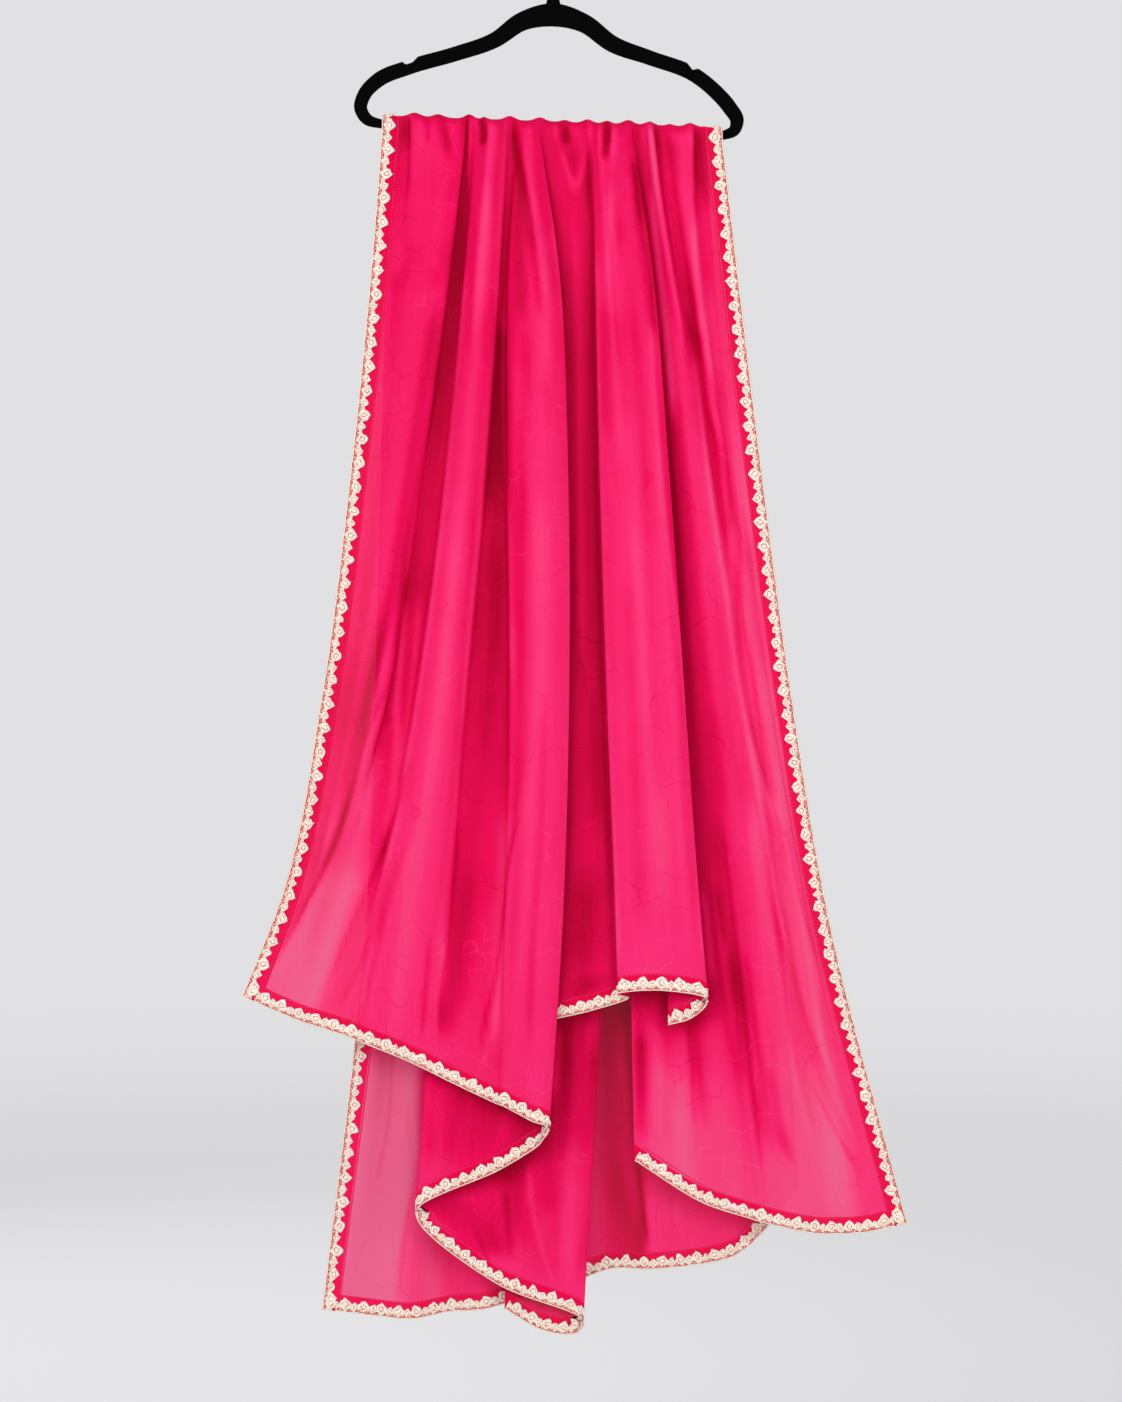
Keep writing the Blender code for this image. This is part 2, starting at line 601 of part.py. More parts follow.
def hook_route():
    """Points along the hook's wire: a bend out of the ferrule, then a round turn to its tip."""
    centre = np.array((0.0, HOOK_WIRE / 2 - HOOK_RADIUS))
    first = math.radians(HOOK_START_DEG)
    foot = np.array((NECK_X, NECK_TOP + FERRULE_HEIGHT + 2 * SEAM_GAP))
    start = centre + HOOK_RADIUS * np.array((math.cos(first), math.sin(first)))
    up = np.array((0.0, 1.0)) * HOOK_BEND_PULL
    along = np.array((-math.sin(first), math.cos(first))) * HOOK_BEND_PULL
    route = []
    for t in np.arange(HOOK_BEND_STEPS) / HOOK_BEND_STEPS:
        near = foot * (1 + 2 * t) * (1 - t) ** 2 + up * t * (1 - t) ** 2
        far = start * t**2 * (3 - 2 * t) - along * t**2 * (1 - t)
        route.append(near + far)
    for angle in np.linspace(first, math.radians(HOOK_END_DEG), HOOK_STEPS):
        route.append(centre + HOOK_RADIUS * np.array((math.cos(angle), math.sin(angle))))
    return route


def add_hook():
    """Round wire hook."""
    curve = bpy.data.curves.new("hook", "CURVE")
    curve.dimensions = "3D"
    curve.bevel_depth = HOOK_WIRE / 2 * MM
    curve.bevel_resolution = 2
    curve.use_fill_caps = True
    spline = curve.splines.new("POLY")
    route = hook_route()
    spline.points.add(len(route) - 1)
    for point, (x, z) in zip(spline.points, route):
        point.co = (x * MM, 0.0, z * MM, 1.0)
    curve.materials.append(material(STEEL))
    hook = bpy.data.objects.new("hook", curve)
    bpy.context.scene.collection.objects.link(hook)


def main():
    clear_scene()
    add_front_left()
    add_cascade()
    add_centre()
    add_front_right()
    add_back()
    add_frame()
    add_ferrule()
    add_hook()


main()
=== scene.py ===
"""Finish of a sheer dupatta stole that hangs lengthwise over a slim velvet clothes hanger.

Each stretch of cloth is a thin shell drawn by a table of fold lines, with softer creases pressed
into it. The lace tape and the sewing are made flat by Geometry Nodes and then laid along
the borders of the shells. Sizes in tables and fields are millimetres unless they say otherwise;
meshes, the studio and the cut of each sheet are in metres.
"""

import json
import logging
import math
from dataclasses import dataclass, field
from enum import Enum

import bmesh
import bpy
import numpy as np
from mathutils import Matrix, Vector

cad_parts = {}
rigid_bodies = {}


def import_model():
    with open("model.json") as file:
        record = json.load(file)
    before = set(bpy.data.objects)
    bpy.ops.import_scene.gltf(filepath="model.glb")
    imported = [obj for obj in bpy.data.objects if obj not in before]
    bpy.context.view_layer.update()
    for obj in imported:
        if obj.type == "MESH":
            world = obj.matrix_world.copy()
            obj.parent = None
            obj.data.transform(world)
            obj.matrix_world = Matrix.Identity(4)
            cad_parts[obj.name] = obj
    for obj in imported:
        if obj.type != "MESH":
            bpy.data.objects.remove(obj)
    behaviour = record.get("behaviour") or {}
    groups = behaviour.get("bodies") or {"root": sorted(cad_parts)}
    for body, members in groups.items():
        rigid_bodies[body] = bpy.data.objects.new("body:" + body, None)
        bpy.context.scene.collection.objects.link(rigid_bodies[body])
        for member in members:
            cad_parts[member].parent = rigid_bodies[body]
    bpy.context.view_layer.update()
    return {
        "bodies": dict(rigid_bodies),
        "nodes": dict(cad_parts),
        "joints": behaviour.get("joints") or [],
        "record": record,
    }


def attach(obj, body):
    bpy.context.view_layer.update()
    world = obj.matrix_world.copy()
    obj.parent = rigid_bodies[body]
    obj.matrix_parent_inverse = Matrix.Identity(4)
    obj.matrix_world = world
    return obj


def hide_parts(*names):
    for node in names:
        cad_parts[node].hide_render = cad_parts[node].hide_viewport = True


LOG = logging.getLogger("dupatta")
MM = 0.001
BODY = "root"

# Heights below the rail at which a fold table gives x, and at which it gives y.
TOP_HEIGHT = -198.0
CASCADE_TOP = -289.0
X_HEIGHTS = (-357.0, -606.0, -855.0, -1081.0)
Y_HEIGHTS = (-357.0, -855.0)

# The cloth's upper line over the bar.
RIDGE_LEFT_X = -181.0
RIDGE_LEFT_Z = -193.9
RIDGE_SLOPE = -0.0353
RIDGE_TO_FRONT = 14.0

# Creases: those that start above NEAR_BAR run up over the bar; strokes of tone alone, painted
# shade and highlight, at least EVEN_STROKE wide are even across the middle; FACING is how fast a
# crease dies where cloth turns.
# A crease is FADE_START of the way into its fade at its first place, and its line is worked out
# at PATH_PLACES places.
NEAR_BAR = -216.0
EVEN_STROKE = 24.0
EVEN_POWER = 4
SOFT_POWER = 2
FACING = 1.6
FADE_START = 0.2
PATH_PLACES = 60

# Rows and columns of the shells: heights of the last rows over the hem, and the inner line of the
# hem band, which on a long edge is a share of the way to the next fold line.
HEM_BAND = 24.0
BAND_WIDTH = 18.5
ROW_CROWDING = 1.35
BAND_ROWS = (24.0, 21.0, 18.5, 14.0, 9.5, 4.5, 0.0)
SIDE_BAND_SHARE = 0.72

# A grid is read no nearer to its last row or column than GRID_END, less one, of a step.
GRID_END = 1.001
TINY = 1e-9

# Levels inward from a border at which the cloth is read for its trims.
GUIDE_LEVELS = 7
GUIDE_STEP = 4.0

# Tone of the sheer cloth, which carries painted light and shade: 0 on an open pleat, 1 deep in
# painted shade between folds and -1 on paler single cloth and under painted highlights.
# Painted shade in troughs and painted highlight on ridges, for each millimetre of a crease's
# height.
SHADE_AND_HIGHLIGHT_OF_HEIGHT = 0.07
# Painted shade in the hollows between folds.
PAINTED_SHADE_OF_HOLLOW = 1.25
TONE_RANGE = (-1.0, 1.2)
# Painted shade near the top, under the bar, fading out between these heights.
PAINTED_SHADE_AT_TOP = 0.17
TONE_FADES = (-640.0, -380.0)


class Side(Enum):
    """Side of a sheet on which a trim lies: the one that faces outwards, or its back."""

    FACE = 1
    REVERSE = -1


@dataclass(frozen=True)
class Fold:
    """One fold line down a stretch: x and y at fixed heights, and the hem's place."""

    name: str
    x_top: float
    x_357: float
    x_606: float
    x_855: float
    x_1081: float
    x_hem: float
    z_hem: float
    y_top: float
    y_357: float
    y_855: float
    y_hem: float


@dataclass(frozen=True)
class Crease:
    """A soft ridge, or a trough where its height is negative, along a line of (x, z) places.

    left and right are its half widths on either side of the line, and fade the length over which
    it dies out at both ends. tone is painted shade where positive, standing partly for layers of
    the sheer cloth that lie together, and painted highlight and paler single cloth where negative.
    A wide stroke of tone alone is even across its middle.
    """

    height: float
    left: float
    right: float
    fade: float
    line: tuple[tuple[float, float], ...]
    tone: float = 0.0


@dataclass(frozen=True)
class Gather:
    """A small bump of the cloth's upper line where a pleat starts."""

    x: float
    height: float
    width: float


# Fold lines of each stretch from one side of it to the other, in the order of Fold's fields.
FRONT_LEFT = (
    Fold("edge", -195, -207, -232, -264, -310, -352, -1187, -5.2, -8, -14, -20),
    Fold("stitch_line", -170, -182, -206, -238, -284, -325, -1201, -5.2, -9, -15, -21),
    Fold("crest_1", -155, -163, -185, -224, -276, -305, -1209, -12, -17, -22, -24),
    Fold("edge_1_right", -103, -119, -153, -195, -268, -286, -1217, -8.5, -21, -24, -24),
    Fold("valley_1_left", -98, -117, -148, -188, -248, -264, -1224, -5.2, -9, -15, -23),
    Fold("valley_1_right", -92, -102, -127, -162, -207, -230, -1235, -5.2, -9, -15, -25),
    Fold("edge_2_left", -86, -100, -122, -157, -199, -215, -1241, -8.5, -18, -24, -28),
    Fold("crest_2", -70, -78, -100, -129, -160, -171, -1258, -13, -27, -33, -33),
    Fold("edge_2_right", -54, -62, -79, -102, -120, -135, -1275, -8.5, -20, -26, -34),
    Fold("valley_2_left", -50, -61, -76, -96, -112, -119, -1283, -5.2, -9, -15, -35),
    Fold("valley_2_right", -43, -52, -55, -54, -60, -69, -1306, -5.2, -9, -15, -40),
    Fold("edge_3_left", -38, -50, -51, -50, -53, -57, -1310, -8.5, -22, -36, -45),
    Fold("crest_3", -29, -24, -17, -16, -20, -27, -1325, -13, -34, -48, -53),
    Fold("edge_3_right", -22, 3, 15, 16, 10, -6, -1335, -9, -25, -40, -50),
    Fold("turn_back", -18, 0, 8, 8, 0, -14, -1349, -6, -18, -32, -44),
)
CASCADE = (
    Fold("join", -8, 0, 8, 8, 0, -14, -1349, -13, -18, -32, -44),
    Fold("start", -11, -5, 3, 2, -3, -17, -1354, -11, -14, -27, -37),
    Fold("middle_b", -15, -14, -28, -42, -53, -62, -1383, -9, -8, -14, -30),
    Fold("turn_left", -24, -32, -68, -101, -130, -156, -1429, -7.5, -5.5, -10.5, -24),
    Fold("turn_left_behind", -22, -28, -63, -95, -125, -152, -1446, -5, -3, -7.5, -20),
    Fold("middle_c", -11, -11, -11, -28, -45, -65, -1513, -4.5, -2.5, -7, -19),
    Fold("turn_right", -3, 5, 34, 48, 53, 32, -1555, -4.2, -2.5, -7, -17),
    Fold("turn_right_behind", -6, 1, 29, 42, 48, 25, -1569, -2, 0.5, -3, -12),
    Fold("middle_d", -10, -6, 6, 6, 1, -14, -1567, -1.6, 0.5, -2.5, -9),
    Fold("turn_left_low", -16, -11, -20, -35, -49, -57, -1543, -1.6, 0.5, -2, -8),
)
CENTRE = (
    Fold("start", -18, 0, 10, 10, 6, 0, -1213, -6, -12.5, -22, -36),
    Fold("recess", 12, 26, 34, 37, 40, 40, -1204, -10, -11, -21, -35),
    Fold("recess_right", 37, 50, 58, 70, 79, 84, -1189, -5.2, -12, -23, -37),
    Fold("edge_4_left", 43, 45, 50, 58, 67, 70, -1184, -8.5, -20, -36, -46),
    Fold("crest_4", 65, 75, 92, 104, 117, 121, -1180, -13, -28, -44, -50),
    Fold("edge_4_right", 83, 108, 129, 146, 162, 172, -1193, -8.5, -20, -36, -44),
    Fold("turn_back", 86, 105, 121, 137, 148, 153, -1212, -6.5, -15.5, -29, -38),
    Fold("turn_back_end", 90.2, 102, 112, 121, 126, 127, -1220, -5.2, -13, -25, -34),
)
FRONT_RIGHT = (
    Fold("edge_fold", 90.2, 97, 105, 102, 87, 89, -1373, -5.2, -8.5, -15, -22),
    Fold("valley_4", 94.5, 108, 128, 146, 161, 166, -1421, -5.2, -9.5, -16, -22),
    Fold("edge_5_left", 101, 115, 137, 164, 189, 212, -1436, -8.5, -13, -24, -26),
    Fold("crest_5", 106, 125, 155, 187, 221, 249, -1446, -12, -21, -31, -30),
    Fold("edge_5_right", 112, 137, 174, 211, 248, 294, -1455, -8.5, -16, -26, -27),
    Fold("valley_5", 118, 144, 182, 223, 264, 318, -1456, -5.2, -9, -17, -22),
    Fold("crest_6", 136, 153, 192, 232, 273, 338, -1455, -12, -14, -19, -24),
    Fold("edge_6_right", 153, 164, 204, 241, 281, 359, -1453, -8.5, -11, -16, -21),
    Fold("stitch_line", 163, 181, 211, 244, 281.5, 372, -1450, -5.2, -8, -13, -20),
    Fold("edge", 187, 205, 235, 268, 305, 397, -1444, -5.2, -8, -13, -19),
)
BACK = (
    Fold("left_edge", -191, -193, -198, -205, -213, -264, -1546, 5.2, 6, 8, 4),
    Fold("stitch_line", -167, -169, -174, -181, -189, -238, -1549, 5.2, 6, 8, 6),
    Fold("crest_1", -145, -149, -157, -165, -172, -203, -1555, 9, 14, 20, 14),
    Fold("valley_1", -119, -123, -130, -138, -144, -163, -1557, 5.2, 6, 9, 6),
    Fold("crest_2", -91, -96, -101, -105, -110, -120, -1551, 11, 16, 24, 18),
    Fold("valley_2", -62, -66, -70, -74, -77, -80, -1546, 5.2, 6, 9, 6),
    Fold("crest_3", -34, -36, -38, -40, -40, -37, -1535, 12, 18, 26, 20),
    Fold("valley_3", -3, -6, -7, -6, -2, 8, -1521, 5.2, 6, 10, 8),
    Fold("crest_4", 26, 25, 27, 32, 40, 62, -1503, 12, 18, 26, 20),
    Fold("valley_4", 57, 57, 63, 72, 83, 108, -1501, 5.2, 6, 10, 8),
    Fold("crest_5", 85, 87, 100, 113, 128, 158, -1498, 11, 17, 24, 18),
    Fold("valley_5", 113, 115, 132, 151, 168, 203, -1486, 5.2, 7, 9, 7),
    Fold("crest_6", 135, 138, 158, 181, 201, 230, -1466, 9, 13, 16, 13),
    Fold("stitch_line", 147, 156, 181, 207, 231, 252, -1439, 5.2, 7, 9, 6),
    Fold("right_edge", 171, 180, 205, 231, 255, 276, -1407, 5.2, 7, 9, 6),
)

GATHERS = (
    Gather(-159, 4.6, 9.0),
    Gather(-132, 3.8, 8.0),
    Gather(-97, 4.8, 7.0),
    Gather(-80, 2.6, 4.0),
    Gather(-51, 4.6, 8.0),
    Gather(-17, 4.2, 8.0),
    Gather(11, 2.4, 6.0),
    Gather(37, 4.0, 7.0),
    Gather(59, 3.0, 6.0),
    Gather(83, 4.8, 8.0),
    Gather(107, 3.8, 7.0),
    Gather(130, 2.0, 5.0),
    Gather(153, 4.0, 7.0),
)

# Creases of each stretch: height, half widths left and right, fade, (x, z) places and tone. The
# tone is painted shade where positive, partly standing for layered sheer cloth, and painted
# highlight where negative, so rows of tone alone are strokes of painted light and shade.
LEFT_CREASES = (
    Crease(-3.0, 9, 3, 30, ((-166, -196), (-166, -240), (-168, -300))),
    Crease(2.6, 4, 22, 50, ((-161, -194), (-162, -260), (-172, -360)), 0.18),
    Crease(-2.2, 7, 4, 14, ((-128, -196), (-124, -214), (-118, -240))),
    Crease(2.4, 4, 9, 60, ((-95, -196), (-114, -310), (-135, -500), (-160, -700))),
    Crease(4.0, 3.5, 18, 90, (
        (-183, -760), (-206, -880), (-240, -1010), (-300, -1130), (-330, -1190),
    )),
    Crease(-3.0, 12, 12, 90, ((-200, -480), (-226, -760), (-262, -960), (-318, -1140))),
    Crease(2.4, 3, 9, 50, ((-176, -780), (-197, -870), (-212, -930), (-224, -1010))),
    Crease(2.2, 3, 8, 40, ((-168, -960), (-196, -1060), (-222, -1150), (-240, -1225))),
    Crease(1.8, 3, 8, 40, ((-160, -1010), (-190, -1110), (-206, -1180), (-214, -1240))),
    Crease(2.8, 3, 7, 30, ((-90, -196), (-84, -222), (-82, -235))),
    Crease(-4.5, 5, 5, 12, ((-83, -197), (-81, -215), (-81, -233))),
    Crease(3.0, 5, 10, 70, ((-73, -200), (-76, -270), (-84, -350), (-92, -480))),
    Crease(-0.6, 7, 5, 60, ((-64, -230), (-70, -330), (-80, -470), (-96, -700))),
    Crease(-3.4, 10, 5, 40, ((-45, -205), (-36, -262), (-28, -310), (-24, -360))),
    Crease(3.6, 4, 9, 50, ((-46, -205), (-34, -262), (-24, -315), (-15, -375), (-10, -430))),
    Crease(-2.4, 6, 9, 110, ((-34, -420), (-40, -640), (-42, -900), (-58, -1200))),
    Crease(2.8, 3, 7, 60, ((-34, -940), (-50, -1040), (-57, -1120), (-74, -1240), (-92, -1290))),
    Crease(-2.0, 8, 3, 70, ((-10, -840), (-14, -980), (-24, -1120), (-30, -1260))),
    Crease(-2.0, 9, 9, 90, ((-150, -700), (-166, -860), (-190, -1040), (-205, -1180))),
    Crease(2.0, 3, 8, 60, ((-112, -980), (-126, -1090), (-140, -1200), (-150, -1262))),
    Crease(0, 10, 14, 30, ((-177, -196), (-174, -289), (-178, -402)), 0.25),
    Crease(0, 4, 9, 110, (
        (-130, -436), (-148, -572), (-168, -697), (-190, -844), (-230, -965), (-255, -1047),
    ), 0.22),
    Crease(0, 10, 11, 70, ((-200, -900), (-225, -1025), (-250, -1115), (-289, -1251)), -0.35),
    Crease(0, 70, 34, 60, (
        (-238, -1025), (-252, -1081), (-272, -1127), (-284, -1164), (-302, -1203), (-343, -1319),
    ), -0.7),
    Crease(0, 18, 3, 60, ((-264, -1025), (-286, -1081), (-302, -1123), (-321, -1172)), 0.4),
    Crease(0, 9, 12, 120, (
        (-110, -606), (-121, -764), (-139, -923), (-162, -1059), (-187, -1285),
    ), -0.25),
    Crease(0, 8, 9, 110, (
        (-85, -606), (-92, -742), (-105, -900), (-119, -1036), (-130, -1149),
    ), 0.28),
    Crease(0, 12, 14, 110, (
        (-55, -470), (-62, -606), (-67, -742), (-77, -878), (-96, -1036), (-117, -1183),
        (-130, -1251),
    ), 0.22),
    Crease(0, 12, 14, 110, (
        (-16, -606), (-16, -787), (-24, -968), (-42, -1149), (-62, -1364),
    ), -0.18),
    Crease(0, 5, 8, 110, ((-42, -538), (-44, -697), (-51, -855), (-60, -991)), 0.12),
    Crease(0, 4, 5, 30, ((-129, -192), (-123, -221), (-119, -255)), 0.35),
    Crease(0, 6, 6, 60, ((-100, -210), (-104, -289), (-108, -380)), 0.45),
    Crease(0, 5, 4, 30, ((-59, -190), (-58, -240)), 0.1),
    Crease(0, 9, 6, 50, ((-77, -266), (-75, -334), (-83, -436)), -0.35),
    Crease(0, 8, 6, 60, ((-16, -334), (-10, -425), (-10, -515)), -0.35),
    Crease(0, 3, 2.8, 40, ((-101, -196), (-109, -289), (-121, -391), (-134, -504)), -0.4),
    Crease(0, 2, 4.5, 60, (
        (-96, -196), (-100, -346), (-114, -504), (-130, -674), (-152, -832), (-168, -930),
        (-196, -1070),
    ), -0.5),
    Crease(0, 4, 2, 60, (
        (-49, -196), (-53, -300), (-61, -391), (-72, -504), (-84, -651), (-100, -832),
        (-106, -908),
    ), -0.35),
    Crease(0, 2, 4.5, 60, (
        (-43, -196), (-48, -289), (-54, -380), (-59, -459), (-57, -561), (-51, -697), (-49, -855),
    ), -0.35),
    Crease(0, 4.5, 2, 60, (
        (-16, -196), (-8, -255), (2, -323), (9, -368), (14, -436), (16, -504), (18, -832),
        (12, -1115), (8, -1205), (-3, -1308),
    ), -0.4),
    Crease(0, 5, 2, 90, (
        (-112, -307), (-134, -492), (-163, -666), (-192, -844), (-212, -897), (-230, -963),
        (-247, -1017), (-271, -1070), (-292, -1114), (-321, -1166),
    ), 0.5),
    Crease(0, 2.8, 2.8, 40, ((-183, -832), (-197, -875), (-212, -937), (-221, -980)), 0.35),
    Crease(0, 2.8, 2.8, 60, (
        (-34, -963), (-50, -1027), (-57, -1093), (-68, -1173), (-82, -1231), (-86, -1266),
    ), 0.45),
    Crease(0, 2.8, 2.8, 40, ((-140, -1115), (-148, -1220), (-151, -1251)), 0.4),
    Crease(0, 2.8, 2.8, 40, ((-123, -1115), (-132, -1184), (-135, -1251)), -0.4),
    Crease(0, 2.8, 2.8, 30, ((-208, -1115), (-228, -1173), (-248, -1210)), 0.4),
    Crease(0, 2.8, 2.8, 30, ((-199, -1115), (-214, -1173), (-218, -1217)), -0.4),
    Crease(0, 3.2, 3.2, 60, (
        (-162, -920), (-195, -1027), (-234, -1122), (-248, -1157), (-272, -1203),
    ), 0.45),
    Crease(0, 30, 30, 60, ((-223, -878), (-243, -968), (-264, -1047)), -0.3),
    Crease(0, 5, 2.8, 40, ((-100, -189), (-101, -244), (-106, -317)), 0.6),
    Crease(0, 4, 4, 10, ((-82, -189), (-82, -214), (-82, -232)), 0.5),
    Crease(0, 2.8, 6, 24, ((-49, -189), (-45, -232), (-38, -289)), 0.6),
    Crease(0, 3, 3, 12, ((-145, -189), (-144, -208), (-142, -232)), 0.4),
    Crease(0, 6, 6, 30, ((-53, -204), (-58, -289), (-61, -357), (-62, -402), (-57, -453)), -0.5),
    Crease(0, 8, 7, 30, ((-40, -249), (-40, -323), (-37, -391), (-37, -436)), 0.4),
    Crease(0, 6, 7, 30, ((-28, -323), (-19, -380), (-15, -436)), 0.4),
    Crease(0, 8, 8, 60, (
        (-132, -403), (-146, -494), (-160, -584), (-172, -664), (-183, -732), (-200, -811),
        (-216, -878), (-230, -934), (-243, -1002), (-268, -1064), (-289, -1110), (-306, -1144),
    ), 0.55),
    Crease(0, 9, 9, 60, (
        (-192, -742), (-215, -844), (-232, -912), (-243, -968), (-260, -1013),
    ), 0.25),
    Crease(0, 5, 4, 40, (
        (-135, -493), (-142, -549), (-149, -595), (-161, -674), (-169, -742),
    ), -0.4),
    Crease(0, 6, 5, 50, (
        (-168, -730), (-173, -787), (-178, -855), (-178, -912), (-183, -968), (-197, -1025),
    ), -0.6),
    Crease(0, 14, 14, 80, (
        (-192, -470), (-207, -572), (-221, -685), (-232, -787), (-246, -855),
    ), -0.3),
    Crease(0, 6, 6, 50, (
        (-77, -629), (-85, -697), (-93, -764), (-98, -844), (-106, -934), (-112, -1025),
    ), -0.5),
    Crease(0, 8, 8, 60, (
        (-54, -968), (-58, -1059), (-63, -1138), (-65, -1206), (-62, -1263),
    ), -0.5),
    Crease(0, 14, 14, 60, ((-92, -1036), (-102, -1115), (-113, -1195), (-130, -1240)), 0.3),
    Crease(0, 6, 6, 50, ((-132, -1138), (-130, -1195), (-127, -1251)), 0.25),
    Crease(0, 7, 7, 30, ((-169, -221), (-171, -289), (-175, -346), (-179, -391)), -0.45),
    Crease(0, 20, 20, 60, ((-147, -232), (-147, -312), (-153, -402)), 0.15),
    Crease(0, 9, 9, 60, ((-101, -232), (-112, -312), (-130, -402)), 0.3),
    Crease(0, 5, 5, 40, ((-97, -266), (-98, -334), (-105, -402)), 0.25),
    Crease(0, 12, 8, 60, ((-63, -674), (-67, -764), (-74, -855), (-80, -923)), 0.25),
    Crease(0, 8, 8, 60, ((-37, -470), (-35, -549), (-34, -640)), -0.2),
    Crease(0, 4, 4, 40, ((-3, -278), (2, -334), (9, -402), (14, -459)), -0.3),
    Crease(0, 5, 5, 40, (
        (-153, -730), (-157, -787), (-163, -844), (-170, -900), (-175, -946),
    ), -0.5),
    Crease(0, 4, 4, 40, ((-205, -889), (-214, -946), (-223, -991), (-232, -1025)), 0.35),
    Crease(0, 14, 14, 40, ((-127, -1183), (-122, -1251)), 0.3),
    Crease(0, 8, 8, 40, ((-135, -368), (-137, -414)), 0.25),
    Crease(0, 5, 5, 40, ((-51, -583), (-49, -685), (-48, -787)), 0.2),
    Crease(1.7, 16, 16, 60, ((-67, -610), (-69, -690), (-70, -780), (-71, -860), (-73, -915))),
)
CASCADE_CREASES = (
    Crease(-2.0, 12, 6, 60, ((-78, -1180), (-104, -1290), (-128, -1400))),
    Crease(2.2, 4, 12, 60, ((-34, -1250), (-58, -1330), (-88, -1410))),
    Crease(2.6, 5, 14, 60, ((-14, -1180), (-22, -1330), (-40, -1470))),
    Crease(-2.6, 12, 8, 60, ((10, -1180), (8, -1330), (-6, -1520))),
    Crease(2.0, 4, 10, 50, ((36, -1200), (34, -1340), (24, -1500))),
    Crease(0, 40, 40, 60, ((-96, -1296), (-85, -1364), (-96, -1432)), 0.3),
    Crease(0, 16, 14, 60, ((-62, -1342), (-49, -1410), (-28, -1489)), 0.3),
    Crease(0, 12, 12, 60, ((6, -1206), (12, -1285), (19, -1364)), 0.15),
    Crease(0, 8, 10, 60, ((49, -1206), (51, -1285), (46, -1364)), 0.2),
    Crease(0, 14, 18, 60, ((23, -1387), (17, -1455), (12, -1523)), -0.1),
    Crease(0, 26, 24, 70, ((-26, -1296), (-22, -1421), (-6, -1534)), 0.34),
    Crease(0, 2.8, 2.8, 40, ((-33, -1364), (-22, -1444), (1, -1523)), -0.3),
    Crease(0, 2.8, 2.8, 40, ((-96, -1438), (-71, -1500), (-62, -1546)), 0.35),
    Crease(0, 30, 24, 20, ((-119, -1415), (-96, -1449), (-71, -1491)), 0.45),
    Crease(0, 14, 14, 30, ((-76, -1410), (-69, -1444), (-58, -1491)), 0.45),
    Crease(0, 30, 50, 40, ((-119, -1285), (-113, -1330), (-119, -1387)), 0.15),
    Crease(0, 8, 8, 40, ((-144, -1302), (-142, -1342), (-142, -1398)), 0.25),
    Crease(0, 7, 9, 50, ((42, -1229), (40, -1285), (35, -1364), (31, -1444), (28, -1523)), 0.45),
    Crease(0, 12, 12, 30, ((-8, -1421), (-6, -1466), (1, -1500)), -0.3),
    Crease(0, 5, 5, 30, ((5, -1217), (2, -1263), (-2, -1313)), -0.6),
    Crease(0, 5, 5, 20, ((-57, -1404), (-53, -1444), (-48, -1491)), 0.5),
)
